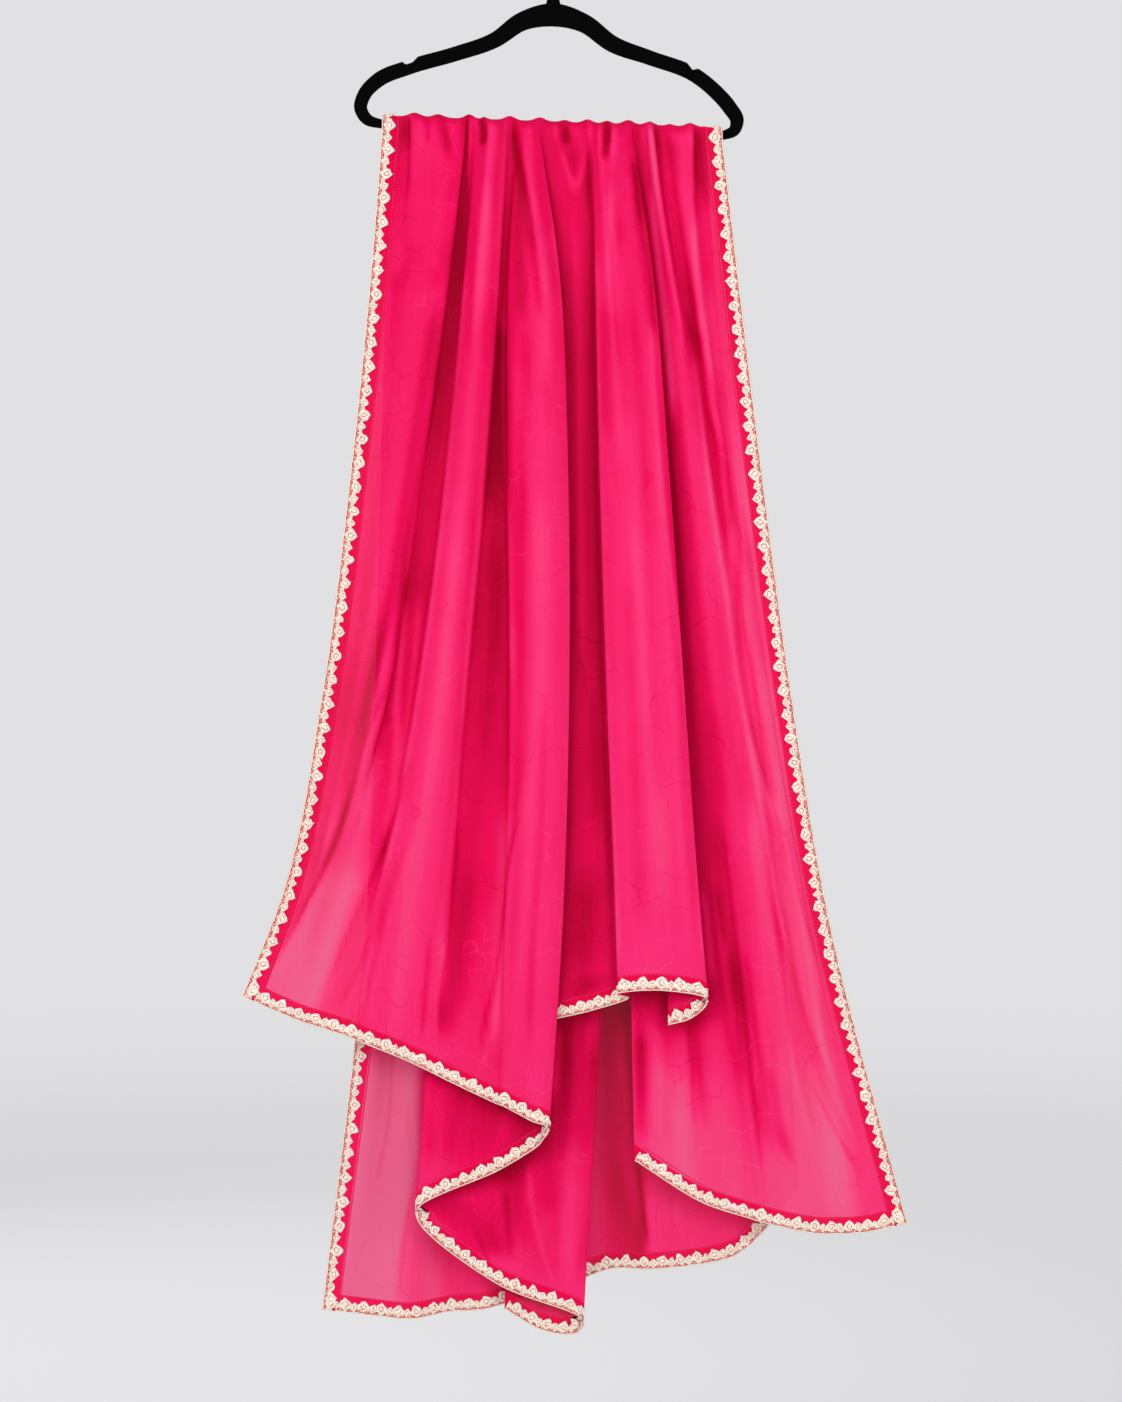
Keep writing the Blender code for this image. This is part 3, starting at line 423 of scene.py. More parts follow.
CENTRE_CREASES = (
    Crease(-4.0, 7, 6, 12, ((12, -201), (13, -216), (14, -232))),
    Crease(3.0, 5, 5, 26, ((1, -203), (8, -236), (18, -270), (22, -292))),
    Crease(3.0, 5, 5, 26, ((38, -204), (35, -236), (29, -266), (23, -292))),
    Crease(-2.6, 9, 9, 30, ((20, -216), (21, -246), (22, -276))),
    Crease(3.0, 6, 8, 80, ((20, -300), (26, -420), (28, -620), (30, -840))),
    Crease(-4.6, 4, 4, 14, ((59, -203), (58, -222), (56, -250))),
    Crease(2.6, 4, 7, 30, ((66, -205), (64, -250), (64, -300), (66, -360))),
    Crease(2.0, 5, 9, 60, ((50, -210), (56, -300), (66, -440), (72, -600))),
    Crease(-2.0, 8, 6, 90, ((86, -380), (100, -560), (110, -800), (120, -1000))),
    Crease(1.8, 4, 8, 80, ((112, -560), (128, -800), (142, -1040), (150, -1160))),
    Crease(-1.6, 7, 7, 70, ((80, -700), (88, -900), (96, -1130))),
    Crease(0, 18, 16, 120, (
        (25, -334), (26, -504), (28, -697), (33, -878), (37, -1036), (40, -1178),
    ), 0.1),
    Crease(0, 4, 4, 120, ((42, -334), (45, -515), (51, -742), (58, -968), (65, -1149)), 0.2),
    Crease(0, 6, 5, 120, ((16, -402), (18, -572), (19, -787), (16, -968), (12, -1149)), 0.08),
    Crease(0, 14, 16, 120, ((89, -606), (103, -810), (117, -991), (123, -1138)), -0.25),
    Crease(0, 8, 8, 60, ((66, -266), (60, -357), (60, -447)), -0.35),
    Crease(0, 5, 8, 40, ((89, -210), (93, -266), (97, -334)), 0.4),
    Crease(0, 6, 5, 110, ((113, -470), (128, -651), (146, -855), (161, -1036), (170, -1161)), 0.2),
    Crease(0, 2, 4.5, 60, (
        (38, -196), (43, -266), (45, -346), (48, -504), (57, -832), (69, -1115), (71, -1179),
    ), -0.45),
    Crease(0, 4.5, 2, 60, (
        (89, -196), (96, -278), (104, -368), (112, -504), (126, -674), (145, -832), (152, -912),
        (160, -1036), (169, -1172),
    ), -0.4),
    Crease(0, 3, 3, 50, ((62, -312), (66, -391), (74, -504)), 0.3),
    Crease(0, 3, 3, 10, ((12, -189), (14, -208), (14, -228)), 0.45),
    Crease(0, 4, 4, 10, ((59, -189), (60, -210), (60, -232)), 0.5),
    Crease(0, 4.5, 2.8, 40, ((35, -189), (37, -244), (40, -323)), 0.4),
    Crease(0, 20, 20, 60, ((35, -1036), (33, -1081), (31, -1127), (28, -1195)), 0.5),
    Crease(0, 16, 18, 14, ((42, -1161), (33, -1178), (24, -1195)), 0.5),
    Crease(0, 9, 7, 60, ((44, -832), (46, -923), (51, -1025)), 0.25),
    Crease(0, 12, 12, 60, ((34, -515), (36, -629), (40, -742), (44, -844)), 0.12),
    Crease(0, 5, 4, 30, ((89, -244), (97, -312), (105, -380), (111, -453)), 0.7),
    Crease(0, 4, 4, 14, ((5, -201), (9, -244)), 0.4),
    Crease(0, 6, 6, 50, ((62, -232), (66, -289), (74, -380)), 0.3),
    Crease(0, 4, 4, 40, ((45, -210), (45, -289), (46, -380)), 0.3),
    Crease(0, 5, 5, 40, ((55, -402), (55, -493), (57, -572)), 0.2),
    Crease(0, 7, 7, 40, ((74, -414), (77, -493), (80, -561)), 0.2),
)
RIGHT_CREASES = (
    Crease(3.4, 4, 8, 60, ((108, -203), (116, -280), (130, -370), (150, -480))),
    Crease(-3.0, 4, 9, 60, ((113, -210), (124, -290), (142, -390), (164, -500))),
    Crease(3.0, 8, 3.5, 60, ((154, -203), (155, -260), (158, -330), (170, -430), (184, -560))),
    Crease(-3.0, 4, 10, 40, ((160, -206), (162, -250), (168, -310))),
    Crease(3.4, 8, 4, 80, ((175, -490), (188, -560), (195, -630), (199, -700), (206, -800))),
    Crease(2.6, 4, 7, 50, ((212, -660), (214, -740), (222, -820))),
    Crease(3.6, 8, 4, 90, ((214, -850), (232, -940), (262, -1010), (282, -1060))),
    Crease(2.4, 5, 5, 70, ((238, -1080), (252, -1180), (272, -1290), (300, -1380))),
    Crease(-2.4, 12, 8, 90, ((186, -700), (206, -900), (232, -1100), (268, -1330))),
    Crease(2.8, 4, 10, 90, ((176, -1040), (190, -1160), (212, -1290), (232, -1400))),
    Crease(2.6, 8, 4, 60, ((290, -1180), (306, -1260), (326, -1320), (350, -1380))),
    Crease(-2.0, 9, 6, 60, ((130, -1060), (126, -1180), (126, -1300), (134, -1390))),
    Crease(0, 6, 12, 110, (
        (132, -504), (146, -685), (164, -855), (178, -1025), (200, -1172), (215, -1263),
    ), 0.1),
    Crease(0, 18, 16, 160, (
        (196, -493), (221, -674), (243, -855), (263, -1025), (284, -1172), (302, -1285),
        (334, -1534),
    ), -0.6),
    Crease(0, 46, 46, 90, ((153, -1240), (170, -1364), (204, -1534)), -0.4),
    Crease(0, 10, 12, 90, ((178, -968), (198, -1115), (218, -1274), (239, -1398)), 0.45),
    Crease(0, 8, 9, 60, ((113, -1217), (119, -1274), (123, -1330)), -0.35),
    Crease(0, 7, 7, 60, ((94, -1195), (96, -1263), (100, -1342)), 0.45),
    Crease(0, 6, 6, 60, ((153, -1195), (162, -1274), (171, -1353)), 0.4),
    Crease(0, 7, 10, 60, ((137, -244), (146, -323), (155, -402)), -0.35),
    Crease(0, 5, 9, 50, ((161, -196), (165, -244), (171, -312)), 0.25),
    Crease(0, 6, 6, 90, ((164, -549), (182, -697), (198, -832), (214, -968)), -0.3),
    Crease(0, 3.2, 2.8, 60, (
        (153, -436), (161, -493), (171, -586), (182, -666), (192, -730), (206, -832), (233, -984),
        (254, -1103), (273, -1172),
    ), -0.5),
    Crease(0, 2.8, 2.8, 40, ((175, -493), (189, -557), (196, -623), (199, -687)), 0.45),
    Crease(0, 2.8, 2.8, 50, ((214, -855), (233, -941), (264, -1016), (283, -1059)), 0.4),
    Crease(0, 3.2, 2.8, 40, (
        (155, -196), (155, -289), (161, -391), (171, -459), (178, -504),
    ), -0.45),
    Crease(0, 2, 4.5, 50, ((111, -196), (121, -289), (136, -391), (153, -493)), 0.4),
    Crease(0, 2.8, 2.8, 40, ((149, -1206), (154, -1274), (158, -1353)), 0.4),
    Crease(0, 2.8, 2.8, 70, ((187, -991), (209, -1172), (235, -1410)), 0.45),
    Crease(0, 2.8, 2.8, 50, ((235, -991), (246, -1081), (255, -1154)), 0.3),
    Crease(0, 2.8, 2.8, 50, ((258, -991), (277, -1081), (303, -1174)), 0.4),
    Crease(0, 2.8, 2.8, 40, ((289, -1286), (317, -1342), (350, -1398)), 0.5),
    Crease(0, 60, 60, 110, ((266, -1240), (277, -1364), (311, -1534)), -0.4),
    Crease(0, 20, 5, 60, (
        (212, -1127), (229, -1251), (241, -1319), (260, -1364), (276, -1394),
    ), 0.42),
    Crease(0, 12, 4, 50, ((196, -1127), (205, -1217), (211, -1280), (213, -1308)), 0.3),
    Crease(0, 7, 7, 70, (
        (248, -1075), (267, -1163), (280, -1222), (302, -1285), (331, -1351), (345, -1385),
    ), 0.32),
    Crease(0, 2.8, 2.8, 50, ((254, -1075), (285, -1222), (309, -1280), (336, -1339)), 0.35),
    Crease(0, 30, 24, 90, ((128, -1263), (132, -1364), (153, -1534)), -0.4),
    Crease(0, 2.8, 4, 40, ((102, -189), (104, -232), (110, -306)), 0.45),
    Crease(0, 2.8, 4, 30, ((123, -189), (127, -221), (132, -266)), 0.4),
    Crease(0, 2.8, 4.5, 50, ((155, -189), (156, -232), (157, -334)), 0.45),
    Crease(0, 6, 5, 60, (
        (103, -204), (109, -266), (114, -334), (121, -402), (127, -459), (132, -515), (135, -561),
    ), -0.9),
    Crease(0, 6, 6, 50, ((125, -204), (129, -289), (142, -368), (156, -447)), -0.45),
    Crease(0, 5, 5, 40, ((155, -221), (155, -278), (158, -334)), 0.4),
    Crease(0, 6, 6, 50, ((173, -380), (180, -447), (188, -515)), -0.3),
    Crease(0, 5, 8, 50, ((177, -538), (186, -572), (194, -606), (207, -663), (221, -730)), 0.4),
    Crease(0, 9, 9, 60, ((209, -651), (218, -708), (232, -787), (241, -855)), 0.25),
    Crease(0, 5, 5, 40, ((206, -730), (214, -798), (223, -866), (237, -940)), -0.5),
    Crease(0, 6, 5, 30, ((164, -1059), (173, -1127), (178, -1183)), -0.5),
    Crease(0, 6, 6, 40, (
        (190, -1013), (197, -1070), (209, -1149), (218, -1229), (229, -1319),
    ), -0.35),
    Crease(0, 9, 9, 60, (
        (218, -957), (229, -1059), (241, -1172), (257, -1263), (266, -1319),
    ), -0.5),
    Crease(0, 12, 12, 50, ((178, -855), (183, -934), (189, -1002)), 0.2),
    Crease(0, 5, 5, 30, ((182, -1059), (187, -1104), (191, -1144)), 0.45),
    Crease(0, 6, 6, 30, ((240, -1263), (250, -1319), (268, -1381)), 0.5),
    Crease(0, 16, 16, 60, ((166, -1229), (164, -1296), (168, -1353)), 0.2),
    Crease(0, 8, 9, 20, ((97, -1229), (97, -1285), (98, -1353)), 0.5),
    Crease(0, 5, 5, 30, ((161, -414), (162, -453)), -0.35),
)
BACK_CREASES = (
    Crease(5, 5, 14, 90, ((-150, -196), (-152, -420), (-158, -700), (-166, -980))),
    Crease(-4, 12, 6, 110, ((-128, -196), (-134, -460), (-140, -800), (-150, -1120))),
    Crease(4.5, 4, 11, 60, ((-104, -196), (-100, -300), (-92, -420), (-88, -560))),
    Crease(-4.5, 9, 5, 80, ((-78, -196), (-80, -360), (-88, -560), (-92, -760))),
    Crease(5.5, 12, 5, 120, ((-44, -196), (-52, -460), (-50, -800), (-44, -1160))),
    Crease(-5, 6, 12, 70, ((-16, -196), (-12, -330), (-2, -480), (2, -620))),
    Crease(4, 4, 10, 60, ((14, -196), (22, -300), (34, -420), (40, -520))),
    Crease(-4.5, 10, 5, 110, ((46, -196), (52, -460), (66, -820), (84, -1160))),
    Crease(5.5, 5, 13, 90, ((70, -196), (80, -400), (92, -640), (100, -860))),
    Crease(-4, 11, 6, 70, ((98, -196), (104, -340), (114, -500), (122, -640))),
    Crease(4.5, 13, 5, 100, ((126, -196), (142, -480), (164, -820), (180, -1080))),
    Crease(-3.5, 6, 9, 80, ((-110, -640), (-116, -860), (-112, -1080), (-100, -1240))),
    Crease(3.5, 5, 11, 90, ((-20, -620), (-14, -860), (-2, -1080), (16, -1260))),
    Crease(3, 4, 9, 70, ((128, -560), (150, -800), (170, -1000))),
    Crease(-3.5, 8, 5, 60, ((28, -640), (34, -840), (44, -1000))),
    Crease(3.6, 4, 9, 70, ((-186, -1200), (-190, -1290), (-200, -1370), (-210, -1430))),
    Crease(3.0, 4, 10, 60, ((-158, -1330), (-164, -1400), (-180, -1470), (-196, -1520))),
    Crease(2.4, 4, 7, 60, ((-120, -1440), (-130, -1490), (-136, -1540))),
    Crease(3.0, 5, 5, 60, ((92, -1340), (96, -1400), (106, -1450), (108, -1490))),
    Crease(2.4, 4, 5, 50, ((134, -1400), (140, -1440), (148, -1480))),
    Crease(0, 64, 40, 70, ((-198, -1229), (-203, -1376), (-214, -1636)), -1),
    Crease(0, 16, 16, 60, ((-139, -1263), (-135, -1376), (-117, -1523)), 0.15),
    Crease(0, 34, 34, 60, ((62, -1200), (66, -1319), (70, -1600)), -0.12),
    Crease(0, 20, 26, 60, ((96, -1364), (113, -1421), (153, -1478)), -0.2),
    Crease(0, 2.8, 2.8, 40, ((-185, -1240), (-189, -1330), (-207, -1421)), 0.5),
    Crease(0, 2.8, 2.8, 40, ((-170, -1308), (-162, -1398), (-171, -1466), (-178, -1546)), 0.35),
    Crease(0, 2.8, 2.8, 20, ((93, -1376), (101, -1438), (106, -1478)), 0.6),
    Crease(0, 2.8, 2.8, 30, ((-225, -1398), (-214, -1478), (-221, -1546)), -0.35),
    Crease(0, 14, 9, 120, (
        (-160, -1190), (-162, -1319), (-164, -1387), (-185, -1455), (-200, -1640),
    ), -0.8),
    Crease(0, 18, 12, 70, ((-148, -1400), (-147, -1444), (-142, -1489), (-135, -1600)), -0.45),
    Crease(0, 26, 26, 200, ((64, -940), (74, -1150), (78, -1308), (74, -1640)), 0.5),
    Crease(0, 7, 7, 160, ((72, -1020), (80, -1180), (93, -1342), (98, -1421), (99, -1620)), 0.5),
    Crease(0, 10, 10, 14, ((198, -1457), (215, -1453)), 0.35),
    Crease(0, 20, 12, 60, ((70, -1370), (76, -1410), (85, -1455), (96, -1560)), 0.4),
)


def smooth_curve(knots: np.ndarray, values: np.ndarray, places: np.ndarray) -> np.ndarray:
    """Cubic curve through values at rising knots.

    Args:
        knots: Rising places of the values.
        values: One value or row of values for each knot.
        places: Where to read the curve.

    Returns:
        The values at the places.
    """
    knots = np.asarray(knots, float)
    values = np.asarray(values, float)
    steps = np.diff(knots)
    shape = (-1,) + (1,) * (values.ndim - 1)
    slopes = np.diff(values, axis=0) / steps.reshape(shape)
    ends = np.empty_like(values)
    ends[0], ends[-1] = slopes[0], slopes[-1]
    before, after = steps[:-1].reshape(shape), steps[1:].reshape(shape)
    ends[1:-1] = (slopes[:-1] * after + slopes[1:] * before) / (before + after)
    span = np.clip(np.searchsorted(knots, places, side="right") - 1, 0, len(knots) - 2)
    width = (knots[span + 1] - knots[span]).reshape(shape)
    t = (places - knots[span]).reshape(shape) / width
    start = values[span] * (1 + 2 * t) * (1 - t) ** 2 + ends[span] * width * t * (1 - t) ** 2
    end = values[span + 1] * t**2 * (3 - 2 * t) - ends[span + 1] * width * t**2 * (1 - t)
    return start + end


def smoothstep(t: np.ndarray) -> np.ndarray:
    """Rises softly from 0 to 1 as t does."""
    t = np.clip(t, 0.0, 1.0)
    return t * t * (3 - 2 * t)


def normals_of(grid: np.ndarray) -> np.ndarray:
    """Unit normals of a grid of points. Left-to-right stretches have them towards the viewer."""
    normal = np.cross(np.gradient(grid, axis=0), np.gradient(grid, axis=1))
    return normal / np.maximum(np.linalg.norm(normal, axis=2, keepdims=True), TINY)


def read_grid(grid: np.ndarray, rows: np.ndarray, columns: np.ndarray) -> np.ndarray:
    """Reads a grid between its points.

    Args:
        grid: Rows and columns of vectors.
        rows: Row numbers with fractions.
        columns: Column numbers with fractions.

    Returns:
        The vectors at those places, with straight interpolation.
    """
    rows = np.clip(rows, 0, grid.shape[0] - GRID_END)
    columns = np.clip(columns, 0, grid.shape[1] - GRID_END)
    r, c = rows.astype(int), columns.astype(int)
    s, t = (rows - r)[..., None], (columns - c)[..., None]
    upper = grid[r, c] * (1 - t) + grid[r, c + 1] * t
    lower = grid[r + 1, c] * (1 - t) + grid[r + 1, c + 1] * t
    return upper * (1 - s) + lower * s


def upper_line(x: np.ndarray) -> np.ndarray:
    """Height of the cloth over the bar at each x, with its gathers."""
    height = RIDGE_LEFT_Z + RIDGE_SLOPE * (x - RIDGE_LEFT_X)
    for gather in GATHERS:
        height = height + gather.height * np.exp(-(((x - gather.x) / gather.width) ** 2))
    return height


def linked(name: str, mesh: bpy.types.Mesh | None) -> bpy.types.Object:
    """Puts a mesh in the scene at the origin."""
    made = bpy.data.objects.new(name, mesh)
    bpy.context.scene.collection.objects.link(made)
    return made


def mesh_object(name: str, points: np.ndarray, faces: list) -> bpy.types.Object:
    """Makes a smooth object at the origin from points in millimetres."""
    mesh = bpy.data.meshes.new(name)
    mesh.from_pydata((np.asarray(points, float) * MM).tolist(), [], faces)
    mesh.validate()
    mesh.shade_smooth()
    return linked(name, mesh)


def ring_faces(first: int, count: int, rings: int, closed: bool = False) -> list:
    """Faces between rings of points that follow each other.

    Args:
        first: Number of the first ring's first point.
        count: Points in each ring.
        rings: Number of rings.
        closed: Whether the last ring joins up with the first.

    Returns:
        The faces as tuples of point numbers.
    """
    faces = []
    for ring in range(rings if closed else rings - 1):
        a, b = first + ring * count, first + (ring + 1) % rings * count
        faces += [(a + k, a + (k + 1) % count, b + (k + 1) % count, b + k) for k in range(count)]
    return faces


def finish_piece(piece: bpy.types.Object, node: str | None = None) -> None:
    """Gives a piece its body, and hides the CAD node that it is shown for, if any."""
    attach(piece, BODY)
    if node:
        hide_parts(node)


class NodeSketch:
    """Short way to place and join shader or geometry nodes in a tree."""

    def __init__(self, tree: bpy.types.NodeTree) -> None:
        """Keeps the tree."""
        self.tree = tree

    def add(self, kind: str, settings: dict | None = None, **inputs: object) -> bpy.types.Node:
        """Adds a node.

        Args:
            kind: Blender's node type.
            settings: Properties of the node.
            **inputs: Socket names with _ for a space, each with a value or an output to link.

        Returns:
            The new node.
        """
        node = self.tree.nodes.new(kind)
        for key, value in (settings or {}).items():
            setattr(node, key, value)
        self.give(node, **inputs)
        return node

    def give(self, node: bpy.types.Node, **inputs: object) -> None:
        """Feeds a node's sockets, named with _ for a space."""
        for key, value in inputs.items():
            self.feed(node.inputs[key.replace("_", " ")], value)

    def feed(self, socket: bpy.types.NodeSocket, value: object) -> None:
        """Links an output to a socket, or sets the socket's value."""
        if isinstance(value, bpy.types.NodeSocket):
            self.tree.links.new(value, socket)
        else:
            socket.default_value = value

    def math(
        self, operation: str, *values: object, kind: str = "ShaderNodeMath"
    ) -> bpy.types.NodeSocket:
        """Works out one value from several.

        Args:
            operation: What is done.
            *values: Numbers or outputs, in the order of the node's sockets.
            kind: Blender's node type.

        Returns:
            The result.
        """
        node = self.add(kind, {"operation": operation})
        for socket, value in zip(node.inputs, values):
            self.feed(socket, value)
        return node.outputs[0]

    def noise(
        self, place: bpy.types.NodeSocket, scale: float, detail: float, out: str = "Fac"
    ) -> bpy.types.NodeSocket:
        """Soft noise, as a value or as its Color."""
        node = self.add("ShaderNodeTexNoise", Vector=place, Scale=scale, Detail=detail)
        return node.outputs[out]

    def stretched(self, place: bpy.types.NodeSocket, *scale: float) -> bpy.types.NodeSocket:
        """A place scaled along each axis."""
        return self.add("ShaderNodeMapping", Vector=place, Scale=scale).outputs["Vector"]

    def spread(
        self,
        value: bpy.types.NodeSocket,
        ends: tuple[float, float],
        to: tuple[float, float] = (0.0, 1.0),
        soft: bool = False,
    ) -> bpy.types.NodeSocket:
        """Maps a value between two ends onto a range, straight or softly."""
        node = self.add("ShaderNodeMapRange", Value=value)
        if soft:
            node.interpolation_type = "SMOOTHSTEP"
        self.give(node, From_Min=ends[0], From_Max=ends[1], To_Min=to[0], To_Max=to[1])
        return node.outputs["Result"]

    def shades(
        self, value: bpy.types.NodeSocket, stops: list[tuple[float, tuple[float, ...]]]
    ) -> bpy.types.NodeSocket:
        """Colour that runs through stops of (position, shade)."""
        ramp = self.add("ShaderNodeValToRGB", Fac=value)
        elements = ramp.color_ramp.elements
        for number, (position, shade) in enumerate(stops):
            stop = elements[number] if number < 2 else elements.new(position)
            stop.position = position
            stop.color = (*shade, 1.0)
        return ramp.outputs["Color"]

    def relief(
        self, height: bpy.types.NodeSocket, strength: float, distance: float
    ) -> bpy.types.NodeSocket:
        """Normals of a fine relief."""
        node = self.add("ShaderNodeBump", Strength=strength, Distance=distance, Height=height)
        return node.outputs["Normal"]


def new_material(
    name: str,
) -> tuple[bpy.types.Material, bpy.types.Node, NodeSketch, bpy.types.NodeSocket]:
    """Starts a material.

    Args:
        name: Its name.

    Returns:
        The material, its shader, a sketch of its nodes and the place of each point.
    """
    made = bpy.data.materials.new(name)
    made.use_nodes = True
    sketch = NodeSketch(made.node_tree)
    place = sketch.add("ShaderNodeTexCoord").outputs["Object"]
    return made, made.node_tree.nodes["Principled BSDF"], sketch, place


def new_tree(
    name: str, sockets: dict[str, tuple[str, ...]]
) -> tuple[NodeSketch, bpy.types.bpy_prop_collection]:
    """Starts a Geometry Nodes tree.

    Args:
        name: Its name.
        sockets: Names of its inputs by the kind of value that they hold.

    Returns:
        A sketch of its nodes, and its inputs as outputs to link.
    """
    tree = bpy.data.node_groups.new(name, "GeometryNodeTree")
    for kind, names in sockets.items():
        for socket in names:
            tree.interface.new_socket(socket, in_out="INPUT", socket_type=f"NodeSocket{kind}")
    tree.interface.new_socket("Geometry", in_out="OUTPUT", socket_type="NodeSocketGeometry")
    sketch = NodeSketch(tree)
    return sketch, sketch.add("NodeGroupInput").outputs


@dataclass(frozen=True)
class ClothFinish:
    """Sheer woven cloth whose colour deepens with the tone of each point.

    shades runs from the palest tone to the deepest, each as (tone, colour): its deep stops are
    painted shade, and its palest is paler single cloth with painted highlight. The tone drifts a
    little, with fine slubs along the warp, and faint crinkles of painted light and shade run over
    it. through is the colour of a painted glow that stands in for the little light that such cloth
    lets into the gaps between its layers, and glow its strength.
    """

    name: str
    shades: tuple[tuple[float, tuple[float, float, float]], ...]
    opacity: float
    grain: float = 0.35
    crinkle_tone: float = 0.21
    drift_tone: float = 0.24
    slub_tone: float = 0.16
    roughness: float = 0.45
    gloss: float = 0.02
    sheen: float = 0.015
    sheen_roughness: float = 0.35
    through: tuple[float, float, float] = (0.62, 0.0, 0.05)
    glow: float = 0.08

    def material(self) -> bpy.types.Material:
        """Builds the material."""
        made, shader, sketch, place = new_material(self.name)
        warp = sketch.add("ShaderNodeUVMap", {"uv_map": "weave"}).outputs["UV"]
        slub = sketch.noise(sketch.stretched(warp, 300.0, 7.0, 1.0), 1.0, 3.0)
        weave = sketch.noise(sketch.stretched(warp, 1800.0, 1800.0, 1.0), 1.0, 1.0)
        # The tone attribute carries painted light and shade; drift, slubs and crinkles move it.
        tone = sketch.add("ShaderNodeAttribute", {"attribute_name": "tone"}).outputs["Fac"]
        for by, amount, middle in (
            (sketch.noise(place, 7.0, 2.0), self.drift_tone, 0.5),
            (slub, self.slub_tone, 0.5),
            (self.crinkles(sketch, place, warp), -self.crinkle_tone, 0.0),
        ):
            away = sketch.math("SUBTRACT", by, middle)
            tone = sketch.math("MULTIPLY_ADD", away, amount, tone)
        low, high = TONE_RANGE
        stops = [((at - low) / (high - low), shade) for at, shade in self.shades]
        sketch.give(
            shader,
            Base_Color=sketch.shades(sketch.spread(tone, TONE_RANGE), stops),
            Normal=sketch.relief(weave, self.grain, 0.00024),
            Roughness=self.roughness,
            Alpha=self.opacity,
            Sheen_Weight=self.sheen,
            Sheen_Roughness=self.sheen_roughness,
            Specular_IOR_Level=self.gloss,
            # A faint painted glow of the cloth's colour lifts its shaded gaps.
            Emission_Color=(*self.through, 1.0),
            Emission_Strength=self.glow,
        )
        return made

    @staticmethod
    def crinkles(
        sketch: NodeSketch, place: bpy.types.NodeSocket, warp: bpy.types.NodeSocket
    ) -> bpy.types.NodeSocket:
        """Thin bent lines between uneven cells of the cloth, painted pale here and deep as light
        and shade.
        """
        bends = sketch.noise(place, 24.0, 1.0, "Color")
        bend = (0.045, 0.045, 0.045)
        bent = sketch.math("MULTIPLY_ADD", bends, bend, warp, kind="ShaderNodeVectorMath")
        cells = sketch.add(
            "ShaderNodeTexVoronoi",
            {"feature": "DISTANCE_TO_EDGE", "voronoi_dimensions": "2D"},
            Vector=sketch.stretched(bent, 1.0, 0.6, 1.0),
            Scale=42.0,
        )
        line = sketch.spread(cells.outputs["Distance"], (0.032, 0.0), soft=True)
        side = sketch.spread(sketch.noise(place, 13.0, 1.0), (0.36, 0.62), (-1.0, 1.0))
        return sketch.math("MULTIPLY", line, side)


@dataclass(frozen=True)
class ThreadFinish:
    """Spun thread: a matte colour with fine twist and a little shade between strands."""

    name: str
    shade: tuple[float, float, float]
    deep_shade: tuple[float, float, float]
    roughness: float = 0.75
    twist: float = 0.6
    gloss: float = 0.3

    def material(self) -> bpy.types.Material:
        """Builds the material."""
        made, shader, sketch, place = new_material(self.name)
        stops = [(0.36, self.deep_shade), (0.56, self.shade)]
        sketch.give(
            shader,
            Base_Color=sketch.shades(sketch.noise(place, 520.0, 3.0), stops),
            Normal=sketch.relief(sketch.noise(place, 1600.0, 1.0), self.twist, 0.0003),
            Roughness=self.roughness,
            Specular_IOR_Level=self.gloss,
        )
        return made


@dataclass(frozen=True)
class VelvetFinish:
    """Black flock with a soft bloom on its rounded edges."""

    name: str = "black_velvet_flock"
    shade: tuple[float, float, float] = (0.0012, 0.0011, 0.0011)
    darkest: float = 0.6
    palest: float = 1.6
    sheen: float = 0.012

    def material(self) -> bpy.types.Material:
        """Builds the material."""
        made, shader, sketch, place = new_material(self.name)
        stops = [
            (at, tuple(share * k for k in self.shade))
            for at, share in ((0.0, self.darkest), (1.0, self.palest))
        ]
        sketch.give(
            shader,
            Base_Color=sketch.shades(sketch.noise(place, 70.0, 3.0), stops),
            Normal=sketch.relief(sketch.noise(place, 1400.0, 2.0), 0.5, 0.0003),
            Roughness=0.85,
            Specular_IOR_Level=0.03,
            Sheen_Weight=self.sheen,
            Sheen_Roughness=0.4,
        )
        return made


@dataclass(frozen=True)
class SteelFinish:
    """Polished wire with faint draw marks."""

    name: str = "polished_hook_steel"
    shade: tuple[float, float, float] = (0.62, 0.62, 0.63)
    roughness: tuple[float, float] = (0.16, 0.32)

    def material(self) -> bpy.types.Material:
        """Builds the material."""
        made, shader, sketch, place = new_material(self.name)
        marks = sketch.noise(place, 240.0, 3.0)
        sketch.give(
            shader,
            Roughness=sketch.spread(marks, (0.0, 1.0), self.roughness),
            Normal=sketch.relief(marks, 0.15, 0.0002),
            Base_Color=(*self.shade, 1.0),
            Metallic=1.0,
        )
        return made


# Colours of the sheer cloth by tone: the deep stops are painted shade, the palest paler single
# cloth with painted highlight.
PINK_SHADES = (
    (-1.0, (0.74, 0.120, 0.255)),
    (0.0, (0.83, 0.024, 0.155)),
    (0.5, (0.74, 0.003, 0.085)),
    (1.0, (0.46, 0.001, 0.032)),
    (1.2, (0.35, 0.0005, 0.018)),
)
# Colours of the hem band by tone: the deep stops are painted shade, the palest painted highlight.
BAND_SHADES = (
    (-1.0, (0.82, 0.004, 0.080)),
    (0.4, (0.72, 0.001, 0.055)),
    (1.2, (0.42, 0.001, 0.025)),
)


@dataclass(frozen=True)
class Finishes:
    """Every material of the stole and its hanger."""

    cloth: bpy.types.Material
    back_cloth: bpy.types.Material
    band: bpy.types.Material
    ivory: bpy.types.Material
    rose: bpy.types.Material
    coral: bpy.types.Material
    stitch: bpy.types.Material
    thread: bpy.types.Material
    velvet: bpy.types.Material
    steel: bpy.types.Material


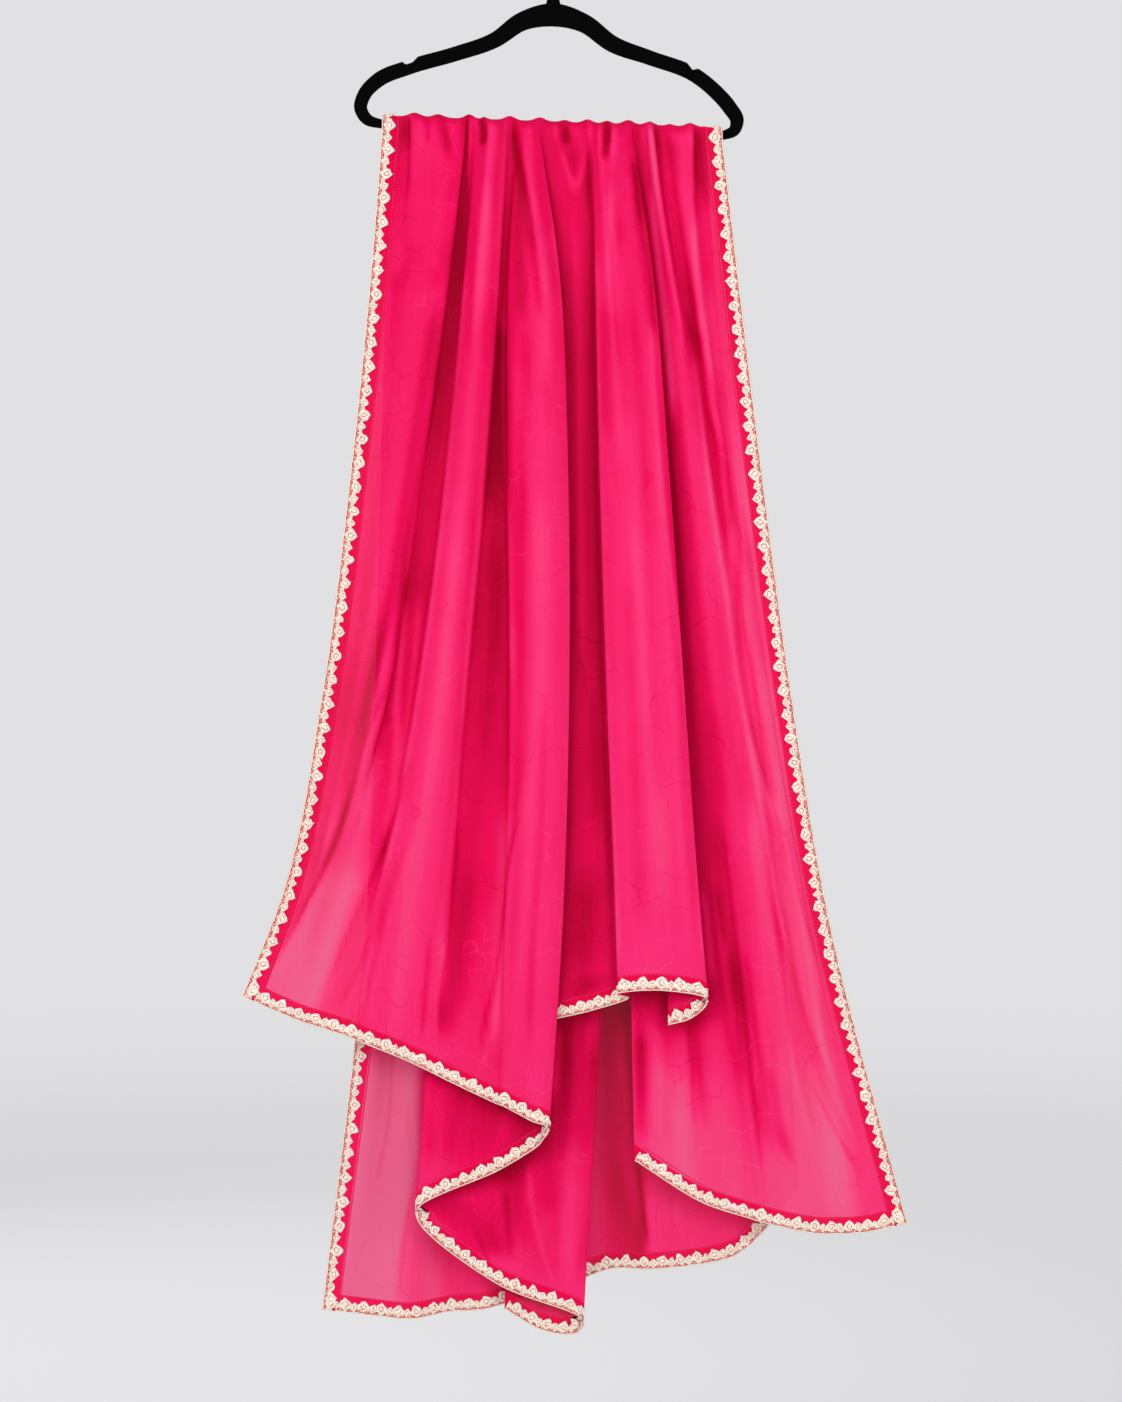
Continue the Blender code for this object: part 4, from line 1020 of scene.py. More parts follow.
def make_finishes() -> Finishes:
    """Builds each finish once."""
    sewing, fold = "crimson_sewing_thread", "pink_folded_edge"
    return Finishes(
        *(
            finish.material()
            for finish in (
                ClothFinish("sheer_pink_organza", PINK_SHADES, 0.98),
                ClothFinish("sheer_pink_organza_back", PINK_SHADES, 0.99),
                ClothFinish("crimson_hem_band", BAND_SHADES, 0.995, grain=0.1, crinkle_tone=0.0),
                ThreadFinish("ivory_lace_thread", (0.95, 0.91, 0.82), (0.86, 0.74, 0.59)),
                ThreadFinish("rose_lace_thread", (0.74, 0.24, 0.16), (0.62, 0.12, 0.09)),
                ThreadFinish("coral_lace_thread", (0.95, 0.20, 0.12), (0.88, 0.07, 0.06)),
                ThreadFinish(sewing, (0.80, 0.008, 0.10), (0.70, 0.004, 0.065), gloss=0.05),
                ThreadFinish(fold, (0.90, 0.08, 0.24), (0.84, 0.04, 0.16), gloss=0.05),
                VelvetFinish(),
                SteelFinish(),
            )
        )
    )


@dataclass
class Stretch:
    """One stretch of the cloth between two hidden joins or borders.

    flat is the cut of what shows, width then length in metres, and area its size in square
    metres; neither is used. top is the height of a stretch that starts below the bar. rows and
    column_step set how fine the shell is. places and knots are the columns' and the fold lines'
    places across it, and starts the number of each fold line's column.
    """

    name: str
    folds: tuple[Fold, ...]
    creases: tuple[Crease, ...]
    flat: tuple[float, float]
    area: float
    top: float | None = None
    left_border: bool = False
    right_border: bool = False
    rows: int = 190
    arch_rows: int = 9
    column_step: float = 2.2
    points: np.ndarray = field(init=False)
    normals: np.ndarray = field(init=False)
    tone: np.ndarray = field(init=False)
    places: np.ndarray = field(init=False)
    knots: np.ndarray = field(init=False)
    starts: dict[str, int] = field(init=False)

    @property
    def behind(self) -> bool:
        """Whether it hangs behind the bar."""
        return self.folds[0].y_855 > 0

    def __post_init__(self) -> None:
        """Works out the shell's points."""
        lines = np.array([self.fold_line(fold) for fold in self.folds])
        grid = self.across(lines)
        if self.top is None:
            grid = self.over_the_bar(grid)
        self.points = self.creased(grid)
        self.normals = normals_of(self.points)

    def fold_line(self, fold: Fold) -> np.ndarray:
        """Points down one fold line, closer near the bar and even over the hem band."""
        first = TOP_HEIGHT if self.top is None else self.top
        start = self.top
        if start is None:
            start = RIDGE_LEFT_Z + RIDGE_SLOPE * (fold.x_top - RIDGE_LEFT_X) - RIDGE_TO_FRONT
        shares = np.linspace(0.0, 1.0, self.rows) ** ROW_CROWDING
        heights = start + (fold.z_hem + HEM_BAND - start) * shares
        heights = np.append(heights, [fold.z_hem + rise for rise in BAND_ROWS[1:]])
        x_knots = -np.array((first, *X_HEIGHTS, fold.z_hem))
        y_knots = -np.array((first, *Y_HEIGHTS, fold.z_hem))
        x_values = (fold.x_top, fold.x_357, fold.x_606, fold.x_855, fold.x_1081, fold.x_hem)
        y_values = (fold.y_top, fold.y_357, fold.y_855, fold.y_hem)
        places = np.maximum(-heights, x_knots[0])
        x = smooth_curve(x_knots, x_values, places)
        y = smooth_curve(y_knots, y_values, places)
        return np.column_stack((x, y, heights))

    def across(self, lines: np.ndarray) -> np.ndarray:
        """Columns between the fold lines on a smooth curve through each row."""
        steps = np.linalg.norm(np.diff(lines, axis=0), axis=2).mean(axis=1)
        knots = np.concatenate(([0.0], np.cumsum(steps**0.5)))
        places, self.starts = [0.0], {self.folds[0].name: 0}
        for k in range(len(steps)):
            cuts = max(2, math.ceil(steps[k] / self.column_step))
            shares = [cut / cuts for cut in range(1, cuts + 1)]
            if k == 0 and self.left_border:
                shares = self.with_band(shares, SIDE_BAND_SHARE)
            if k == len(steps) - 1 and self.right_border:
                shares = self.with_band(shares, 1 - SIDE_BAND_SHARE)
            places += [knots[k] + (knots[k + 1] - knots[k]) * share for share in shares]
            self.starts[self.folds[k + 1].name] = len(places) - 1
        self.places = np.array(places)
        self.knots = knots
        grid = smooth_curve(knots, lines, self.places)
        return np.swapaxes(grid, 0, 1)

    @staticmethod
    def with_band(shares: list[float], band: float) -> list[float]:
        """Moves the nearest share onto the inner line of the hem band."""
        nearest = min(range(len(shares)), key=lambda k: abs(shares[k] - band))
        shares[nearest] = band
        return shares

    def over_the_bar(self, grid: np.ndarray) -> np.ndarray:
        """Adds the rows that carry the top of the stretch up to the upper line over the bar."""
        top = grid[0]
        ridge = upper_line(top[:, 0])
        rows = []
        for k in range(self.arch_rows, 0, -1):
            angle = math.radians(90.0 * k / self.arch_rows)
            row = top.copy()
            row[:, 1] = top[:, 1] * math.cos(angle)
            row[:, 2] = top[:, 2] + (ridge - top[:, 2]) * math.sin(angle)
            rows.append(row)
        return np.concatenate((np.array(rows), grid))

    def creased(self, grid: np.ndarray) -> np.ndarray:
        """Moves the points out or in along their normals for each crease, and paints shade and
        light.
        """
        normals = normals_of(grid)
        outward = -1.0 if self.behind else 1.0
        x, z = grid[..., 0], grid[..., 2]
        move = np.zeros_like(x)
        # Painted shade near the top, under the bar, that fades out lower down.
        low, high = TONE_FADES
        self.tone = PAINTED_SHADE_AT_TOP * smoothstep((z - low) / (high - low))
        from_ridge = (np.arange(len(x)) / self.arch_rows)[:, None] + np.zeros_like(x)
        for crease in self.creases:
            line = np.array(crease.line)
            knots = -line[:, 1]
            places = np.linspace(knots[0], knots[-1], PATH_PLACES)
            path = smooth_curve(knots, line[:, 0], places)
            away = x - np.interp(-z, places, path)
            width = np.where(away < 0, crease.left, crease.right)
            begins = (-z - knots[0]) / crease.fade + FADE_START
            if crease.line[0][1] > NEAR_BAR:
                begins = from_ridge
            fade = smoothstep(begins) * smoothstep((knots[-1] + z) / crease.fade)
            even = crease.height == 0 and crease.left >= EVEN_STROKE
            power = EVEN_POWER if even else SOFT_POWER
            share = np.exp(-(np.abs(away / width) ** power)) * fade
            move += crease.height * share
            # Painted light and shade of each crease: its stroke's own tone, with painted shade in
            # troughs and a painted highlight on ridges.
            self.tone += (crease.tone - SHADE_AND_HIGHLIGHT_OF_HEIGHT * crease.height) * share
        facing = np.clip(-FACING * outward * normals[..., 1], 0.0, 1.0)
        return grid + normals * (move * facing * outward)[..., None]

    def column(self, name: str) -> int:
        """Number of the column on a named fold line."""
        return self.starts[name]

    def build(self, finishes: Finishes) -> bpy.types.Object:
        """Makes the shell, with its hem band in a second finish.

        Args:
            finishes: The materials.

        Returns:
            The finished shell.
        """
        rows, columns = self.points.shape[:2]
        first_band_row = rows - BAND_ROWS[::-1].index(BAND_WIDTH) - 1
        last_span = self.knots[-1] - self.knots[-2]
        inner_lines = (
            self.knots[1] * SIDE_BAND_SHARE,
            self.knots[-1] - last_span * SIDE_BAND_SHARE,
        )
        left, right = (int(np.argmin(np.abs(self.places - line))) for line in inner_lines)
        faces, slots = [], []
        for r in range(rows - 1):
            for c in range(columns - 1):
                a = r * columns + c
                quad = (a, a + columns, a + columns + 1, a + 1)
                faces.append(quad[::-1] if self.behind else quad)
                banded = r >= first_band_row
                banded |= self.left_border and c < left
                banded |= self.right_border and c >= right
                slots.append(int(banded))
        shell = mesh_object(f"{self.name}_panel", self.points.reshape(-1, 3), faces)
        shell.data.materials.append(finishes.back_cloth if self.behind else finishes.cloth)
        shell.data.materials.append(finishes.band)
        shell.data.polygons.foreach_set("material_index", slots)
        self.lay_out(shell)
        finish_piece(shell, f"cloth_{self.name}")
        LOG.info("%s: %d points", self.name, rows * columns)
        return shell

    def lay_out(self, shell: bpy.types.Object) -> None:
        """Writes the weave's UV map, in metres across and down the cloth, and the tone with its
        painted light and shade.
        """
        across = np.linalg.norm(np.diff(self.points, axis=1), axis=2)
        down = np.linalg.norm(np.diff(self.points, axis=0), axis=2)
        u = np.concatenate((np.zeros((len(across), 1)), np.cumsum(across, axis=1)), axis=1)
        u = np.repeat(u.mean(axis=0, keepdims=True), len(across), axis=0)
        v = np.concatenate((np.zeros((1, down.shape[1])), np.cumsum(down, axis=0)))
        pairs = np.stack((u, -v), axis=2).reshape(-1, 2) * MM
        layer = shell.data.uv_layers.new(name="weave")
        corners = np.empty(len(shell.data.loops), np.int32)
        shell.data.loops.foreach_get("vertex_index", corners)
        layer.data.foreach_set("uv", pairs[corners].astype(np.float32).ravel())
        tone = shell.data.attributes.new("tone", "FLOAT", "POINT")
        tone.data.foreach_set("value", np.clip(self.tone, *TONE_RANGE).astype(np.float32).ravel())


@dataclass(frozen=True)
class Look:
    """A direction in which neighbours are looked for: cells a step, steps and weight."""

    go_x: int
    go_z: int
    steps: int
    weight: float


@dataclass
class HollowMap:
    """Nearest cloth at each place seen from one side, to find the hollows between folds and paint
    shade there.
    """

    stretches: tuple[Stretch, ...]
    side: Side = Side.FACE
    left: float = -380.0
    low: float = -1600.0
    step_x: float = 3.0
    step_z: float = 8.0
    shape: tuple[int, int] = (180, 265)
    far: float = 60.0
    looks: tuple[Look, ...] = (Look(-1, 0, 20, 0.42), Look(1, 0, 20, 0.42), Look(0, 1, 10, 0.3))
    smoothings: int = 3
    near: np.ndarray = field(init=False)

    def __post_init__(self) -> None:
        """Fills the map from every stretch."""
        self.near = np.full(self.shape, self.far)
        for stretch in self.stretches:
            halves = (np.arange(0, count - 1, 0.5) for count in stretch.points.shape[:2])
            fine = read_grid(stretch.points, *np.meshgrid(*halves, indexing="ij"))
            depth = self.side.value * fine[..., 1]
            np.minimum.at(self.near, self.cell(fine[..., 0], fine[..., 2]), depth)

    def cell(self, x: np.ndarray, z: np.ndarray) -> tuple[np.ndarray, np.ndarray]:
        """Row and column of the map at each place."""
        row = np.clip((z - self.low) / self.step_z, 0, self.shape[0] - 1).astype(int)
        column = np.clip((x - self.left) / self.step_x, 0, self.shape[1] - 1).astype(int)
        return row, column

    def shade(self, stretch: Stretch, strength: float | np.ndarray = 1.0) -> None:
        """Paints shade into a stretch's tone by how deep each point lies between its neighbours.
        """
        x, y, z = (stretch.points[..., k] for k in range(3))
        y = self.side.value * y
        total = np.zeros_like(x)
        for look in self.looks:
            step_x, step_z = look.go_x * self.step_x, look.go_z * self.step_z
            steepest = np.zeros_like(x)
            for k in range(1, look.steps + 1):
                spot = self.cell(x + k * step_x, z + k * step_z)
                away = k * math.hypot(step_x, step_z)
                steepest = np.maximum(steepest, (y - self.near[spot]) / away)
            total += look.weight * steepest / np.sqrt(1 + steepest**2)
        for axis in (0, 1) * self.smoothings:
            total = (np.roll(total, 1, axis) + 2 * total + np.roll(total, -1, axis)) / 4
        # Painted shade in the hollows between folds.
        stretch.tone = stretch.tone + strength * PAINTED_SHADE_OF_HOLLOW * total


class Run(Enum):
    """Kind of border: a long edge, or a hem, where the florets of the lace are closer."""

    SIDE = "side"
    HEM = "hem"


@dataclass
class Border:
    """A finished border of the cloth, ready for trims to be laid on it.

    guide holds points at each station along the border and at each level inward from it, a
    GUIDE_STEP apart, and normals the cloth's normals there.
    """

    run: Run
    guide: np.ndarray
    normals: np.ndarray

    @property
    def lengths(self) -> np.ndarray:
        """Distance along the border of each station."""
        steps = np.linalg.norm(np.diff(self.guide[:, 0], axis=0), axis=1)
        return np.concatenate(([0.0], np.cumsum(steps)))

    def joined(self, other: "Border") -> "Border":
        """This border with another that carries on from its end."""
        return Border(
            self.run,
            np.concatenate((self.guide, other.guide[1:])),
            np.concatenate((self.normals, other.normals[1:])),
        )

    def place(self, flat: np.ndarray, start: float, side: Side, lift: float) -> np.ndarray:
        """Lays flat points on the cloth.

        Args:
            flat: Points as distance along, distance inward and height, in millimetres.
            start: Distance along the border at which the flat piece starts.
            side: Side of the cloth on which it lies.
            lift: Clearance from the cloth's middle surface.

        Returns:
            The points in place.
        """
        lengths = self.lengths
        along = np.interp(flat[:, 0] + start, lengths, np.arange(len(lengths)))
        level = flat[:, 1] / GUIDE_STEP
        base = read_grid(self.guide, along, level)
        out = read_grid(self.normals, along, level)
        out /= np.linalg.norm(out, axis=1, keepdims=True)
        return base + out * (side.value * (flat[:, 2] + lift))[:, None]


def border_of(run: Run, sheet: Stretch, rows: np.ndarray, columns: np.ndarray) -> Border:
    """Finds the places inward from a border, square to it along the cloth.

    Args:
        run: Its kind.
        sheet: The stretch.
        rows: Row number of each station along the border.
        columns: Column number of each station.

    Returns:
        The border with its guide points and normals.
    """
    down = np.gradient(sheet.points, axis=0)
    right = np.gradient(sheet.points, axis=1)
    edge = read_grid(sheet.points, rows, columns)
    along = np.gradient(edge, axis=0)
    along /= np.linalg.norm(along, axis=1, keepdims=True)
    guide, normals = [edge], [read_grid(sheet.normals, rows, columns)]
    middle = np.array(((sheet.points.shape[0] - 1) / 2, (sheet.points.shape[1] - 1) / 2))
    r, c = rows.astype(float), columns.astype(float)
    for _ in range(GUIDE_LEVELS - 1):
        d, e = read_grid(down, r, c), read_grid(right, r, c)
        n = np.cross(d, e)
        inward = np.cross(n, along)
        inward /= np.linalg.norm(inward, axis=1, keepdims=True)
        dd, de, ee = (d * d).sum(1), (d * e).sum(1), (e * e).sum(1)
        di, ei = (d * inward).sum(1), (e * inward).sum(1)
        bottom = dd * ee - de * de
        row_move, column_move = (ee * di - de * ei) / bottom, (dd * ei - de * di) / bottom
        if len(guide) == 1:
            towards = (row_move * (middle[0] - r) + column_move * (middle[1] - c)).sum()
            sign = 1.0 if towards > 0 else -1.0
        r = np.clip(r + sign * GUIDE_STEP * row_move, 0, sheet.points.shape[0] - 1)
        c = np.clip(c + sign * GUIDE_STEP * column_move, 0, sheet.points.shape[1] - 1)
        guide.append(read_grid(sheet.points, r, c))
        normals.append(read_grid(sheet.normals, r, c))
    return Border(run, np.stack(guide, axis=1), np.stack(normals, axis=1))


def side_border(sheet: Stretch, column: int) -> Border:
    """A long edge, from the bar down."""
    count = sheet.points.shape[0]
    return border_of(Run.SIDE, sheet, np.arange(float(count)), np.full(count, float(column)))


def hem_border(sheet: Stretch) -> Border:
    """The lower edge, from left to right along the cloth."""
    rows, count = sheet.points.shape[:2]
    return border_of(Run.HEM, sheet, np.full(count, rows - 1.0), np.arange(float(count)))


@dataclass(frozen=True)
class Motif:
    """Outline of a lobed rosette.

    size is its half width, dip how deep the outline goes in between lobes as a share of the size,
    and longer how many times longer it is along the tape than across it.
    """

    name: str
    size: float
    lobes: int
    dip: float
    longer: float
    corners: int


MOTIFS = (
    Motif("floret", 7.6, 4, 0.24, 1.0, 12),
    Motif("small_floret", 5.6, 4, 0.2, 1.0, 12),
    Motif("link", 3.2, 2, 0.3, 1.25, 8),
    Motif("block", 7.6, 2, 0.08, 0.9, 8),
)


@dataclass(frozen=True)
class LacePattern:
    """Sizes of the lace tape's flat pattern.

    profile gives a rosette's rings from the rim to the middle: each one's share of the size, its
    height and how much its threads stand out, both as shares of floret_thick.
    """

    side_repeat: float = 27.5
    hem_repeat: float = 21.5
    floret_place: float = 8.8
    floret_thick: float = 1.5
    link_place: float = 6.4
    filler_place: float = 7.0
    cord: float = 0.75
    outer_cord_place: float = 0.9
    inner_cord_place: float = 5.6
    cord_step: float = 4.2
    piping: float = 1.15
    piping_place: float = 3.1
    thread: float = 0.5
    trellis_step: float = 3.4
    profile: tuple[tuple[float, float, float], ...] = (
        (1.0, 0.0, 0.0),
        (0.82, 0.9, 0.2),
        (0.5, 0.5, 0.1),
        (0.34, 0.45, 0.0),
        (0.16, 0.95, 0.0),
    )
    inset_ring: int = 2

    def rosette(self, motif: Motif) -> bpy.types.Object:
        """A rosette of thread that lies flat, with a coloured ring sunk round its middle.

        Args:
            motif: Its outline.

        Returns:
            The helper object.
        """
        count, points = motif.corners, []
        for share, height, cord in self.profile:
            for k in range(count):
                turn = 2 * math.pi * k / count
                dip = 1 - motif.dip * (0.5 - 0.5 * math.cos(motif.lobes * turn))
                reach = motif.size * share * dip
                rise = self.floret_thick * (height + (cord if k % 2 else -cord))
                x, y = reach * motif.longer * math.cos(turn), reach * math.sin(turn)
                points.append((x, y, rise))
        faces = ring_faces(0, count, len(self.profile))
        faces.append(tuple(range(len(points) - count, len(points))))
        faces.append(tuple(reversed(range(count))))
        made = mesh_object(motif.name, np.array(points), faces)
        inset = made.data.attributes.new("inset", "BOOLEAN", "FACE")
        inset.data.foreach_set("value", [k // count == self.inset_ring for k in range(len(faces))])
        return made


PATTERN_SIZES = (
    *("Floret Place", "Filler Place", "Link Place", "Cord", "Cord Step", "Thread", "Trellis Step"),
    *("Outer Cord Place", "Inner Cord Place", "Piping", "Piping Place"),
)


class LaceTree:
    """Geometry Nodes tree that makes a flat run of lace: florets and their links, and cords.

    LEAN is how far each motif may turn either way, and SIZES the least and most that it is scaled.
    """

    SOCKETS = {
        "Int": ("Repeats", "Seed"),
        "Object": ("Floret", "Filler", "Link", "Corner"),
        "Material": ("Lace Finish", "Inset Finish", "Piping Finish"),
        "Float": ("Repeat", "Length", *PATTERN_SIZES),
    }
    LEAN = (0.0, 0.0, 0.35)
    SIZES = ((0.84, 0.86, 0.8), (1.1, 1.08, 1.15))
    CORD_SIDES = 5
    THREAD_SIDES = 4

    def __init__(self) -> None:
        """Builds the tree once."""
        self.sketch, self.inputs = new_tree("lace_run", self.SOCKETS)
        self.tree = self.sketch.tree
        add, inputs = self.sketch.add, self.inputs
        thread = self.joined(
            self.row("Floret", "Floret Place", phase=0.5, salt=0),
            self.row("Filler", "Filler Place", phase=0.0, salt=7),
            self.row("Link", "Link Place", phase=0.25, salt=13, share=0.5),
            self.corner(),
            self.cord("Outer Cord Place", "Cord"),
            self.cord("Inner Cord Place", "Cord"),
            self.trellis(),
        )
        real = add("GeometryNodeRealizeInstances", Geometry=thread).outputs["Geometry"]
        ivory = self.painted(real, inputs["Lace Finish"])
        inset = add("GeometryNodeInputNamedAttribute", {"data_type": "BOOLEAN"}, Name="inset")
        eyes = self.painted(ivory, inputs["Inset Finish"], Selection=inset.outputs["Attribute"])
        piping = self.painted(self.cord("Piping Place", "Piping"), inputs["Piping Finish"])
        smooth = add("GeometryNodeSetShadeSmooth", Geometry=self.joined(eyes, piping))
        add("NodeGroupOutput", Geometry=smooth.outputs["Geometry"])

    def joined(self, *parts: bpy.types.NodeSocket) -> bpy.types.NodeSocket:
        """Several geometries as one."""
        node = self.sketch.add("GeometryNodeJoinGeometry")
        for part in parts:
            self.tree.links.new(part, node.inputs["Geometry"])
        return node.outputs["Geometry"]

    def painted(
        self, part: bpy.types.NodeSocket, finish: bpy.types.NodeSocket, **inputs: object
    ) -> bpy.types.NodeSocket:
        """Sets the material of a geometry, or of a selection of it."""
        node = self.sketch.add("GeometryNodeSetMaterial", Geometry=part, Material=finish, **inputs)
        return node.outputs["Geometry"]

    def point(self, x: object, y: object, z: object = 0.0) -> bpy.types.NodeSocket:
        """A vector from outputs or numbers."""
        return self.sketch.add("ShaderNodeCombineXYZ", X=x, Y=y, Z=z).outputs["Vector"]

    def corner(self) -> bpy.types.NodeSocket:
        """The block that closes a tape in the cloth's corner, where it has one."""
        inputs = self.inputs
        along = self.sketch.math("SUBTRACT", inputs["Length"], inputs["Floret Place"])
        motif = self.sketch.add("GeometryNodeObjectInfo", Object=inputs["Corner"])
        moved = self.sketch.add(
            "GeometryNodeTransform",
            Geometry=motif.outputs["Geometry"],
            Translation=self.point(along, inputs["Floret Place"]),
        )
        return moved.outputs["Geometry"]

    def drawn(
        self, low: tuple[float, ...], high: tuple[float, ...], seed: bpy.types.NodeSocket
    ) -> bpy.types.NodeSocket:
        """A random vector for each copy."""
        node = self.sketch.add("FunctionNodeRandomValue", {"data_type": "FLOAT_VECTOR"}, Seed=seed)
        node.inputs[0].default_value, node.inputs[1].default_value = low, high
        return node.outputs["Value"]

    def row(
        self, what: str, where: str, phase: float, salt: int, share: float = 1.0
    ) -> bpy.types.NodeSocket:
        """Copies of a motif along the tape, each a little turned and scaled.

        Args:
            what: Input with the motif's object.
            where: Input with its distance inward from the edge.
            phase: Place of the first copy as a share of the repeat.
            salt: Added to the seed, so that rows differ.
            share: Distance between copies as a share of the repeat.

        Returns:
            The instances.
        """
        inputs, math_of, whole = self.inputs, self.sketch.math, "FunctionNodeIntegerMath"
        each, more = round(1 / share), 0 if phase else 1
        first = math_of("MULTIPLY", inputs["Repeat"], phase)
        apart = math_of("MULTIPLY", inputs["Repeat"], share)
        line = self.sketch.add(
            "GeometryNodeMeshLine",
            Count=math_of("MULTIPLY_ADD", inputs["Repeats"], each, more, kind=whole),
            Start_Location=self.point(first, inputs[where]),
            Offset=self.point(apart, 0.0),
        )
        seed = math_of("ADD", inputs["Seed"], salt, kind=whole)
        motif = self.sketch.add("GeometryNodeObjectInfo", Object=inputs[what])
        return self.sketch.add(
            "GeometryNodeInstanceOnPoints",
            Points=line.outputs["Mesh"],
            Instance=motif.outputs["Geometry"],
            Rotation=self.drawn(tuple(-k for k in self.LEAN), self.LEAN, seed),
            Scale=self.drawn(*self.SIZES, seed),
        ).outputs["Instances"]

    def run(self, where: str, step: str) -> bpy.types.NodeSocket:
        """A straight line of points along the tape at an input's distance inward."""
        line = self.sketch.add(
            "GeometryNodeCurvePrimitiveLine",
            Start=self.point(0.0, self.inputs[where]),
            End=self.point(self.inputs["Length"], self.inputs[where]),
        )
        return resampled(self.sketch, line.outputs["Curve"], self.inputs[step])

    def cord(self, where: str, radius: str) -> bpy.types.NodeSocket:
        """A cord along the tape."""
        run = self.run(where, "Cord Step")
        return tube(self.sketch, run, self.inputs[radius], self.CORD_SIDES)

    def trellis(self) -> bpy.types.NodeSocket:
        """A thread that zigzags between the two cords, over the piping."""
        inputs, math_of = self.inputs, self.sketch.math
        index = self.sketch.add("GeometryNodeInputIndex").outputs["Index"]
        gap = math_of("SUBTRACT", inputs["Inner Cord Place"], inputs["Outer Cord Place"])
        step = math_of("MULTIPLY", math_of("MODULO", index, 2.0), gap)
        zigzag = self.sketch.add(
            "GeometryNodeSetPosition",
            Geometry=self.run("Outer Cord Place", "Trellis Step"),
            Offset=self.point(0.0, step, inputs["Piping"]),
        )
        return tube(
            self.sketch, zigzag.outputs["Geometry"], inputs["Thread"], self.THREAD_SIDES
        )


def resampled(
    sketch: NodeSketch, curve: bpy.types.NodeSocket, step: bpy.types.NodeSocket
) -> bpy.types.NodeSocket:
    """A curve with its points an even step apart."""
    node = sketch.add("GeometryNodeResampleCurve", {"mode": "LENGTH"}, Curve=curve, Length=step)
    return node.outputs["Curve"]


def tube(
    sketch: NodeSketch, curve: bpy.types.NodeSocket, radius: bpy.types.NodeSocket, sides: int
) -> bpy.types.NodeSocket:
    """A closed tube round a curve."""
    circle = sketch.add("GeometryNodeCurvePrimitiveCircle", Resolution=sides, Radius=radius)
    node = sketch.add(
        "GeometryNodeCurveToMesh",
        Curve=curve,
        Profile_Curve=circle.outputs["Curve"],
        Fill_Caps=True,
    )
    return node.outputs["Mesh"]


def sizes_of(fields: object, names: tuple[str, ...]) -> dict[str, float]:
    """Sizes of a pattern by the names of a tree's inputs, from fields of the same names."""
    return {name: getattr(fields, name.lower().replace(" ", "_")) for name in names}


def grown(
    tree: bpy.types.NodeTree, sizes: dict[str, float], values: dict[str, object]
) -> bpy.types.Mesh:
    """Runs a Geometry Nodes tree with its inputs set by name.

    Args:
        tree: The tree.
        sizes: Its sizes in millimetres.
        values: Its other inputs.

    Returns:
        The plain mesh that it makes.
    """
    seed_mesh = bpy.data.meshes.new("seed")
    holder = linked("seed", seed_mesh)
    modifier = holder.modifiers.new("grow", "NODES")
    modifier.node_group = tree
    sockets = {s.name: s.identifier for s in tree.interface.items_tree if s.in_out == "INPUT"}
    for name, value in {**values, **{name: size * MM for name, size in sizes.items()}}.items():
        modifier[sockets[name]] = value
    graph = bpy.context.evaluated_depsgraph_get()
    mesh = bpy.data.meshes.new_from_object(holder.evaluated_get(graph))
    bpy.data.objects.remove(holder)
    bpy.data.meshes.remove(seed_mesh)
    return mesh


def points_of(mesh: bpy.types.Mesh) -> np.ndarray:
    """A mesh's points in millimetres."""
    points = np.empty(len(mesh.vertices) * 3, np.float32)
    mesh.vertices.foreach_get("co", points)
    return points.reshape(-1, 3).astype(float) / MM


def set_points(mesh: bpy.types.Mesh, points: np.ndarray) -> None:
    """Moves a mesh's points to places in millimetres."""
    mesh.vertices.foreach_set("co", (points * MM).astype(np.float32).ravel())
    mesh.update()


@dataclass(frozen=True)
class Drift:
    """A wave in the small drifts of handwork: its height, and radians a millimetre each way."""

    height: float
    by_x: float
    by_y: float

    def at(self, x: np.ndarray, y: np.ndarray) -> np.ndarray:
        """The drift at each place."""
        return self.height * np.sin(self.by_x * x + self.by_y * y)


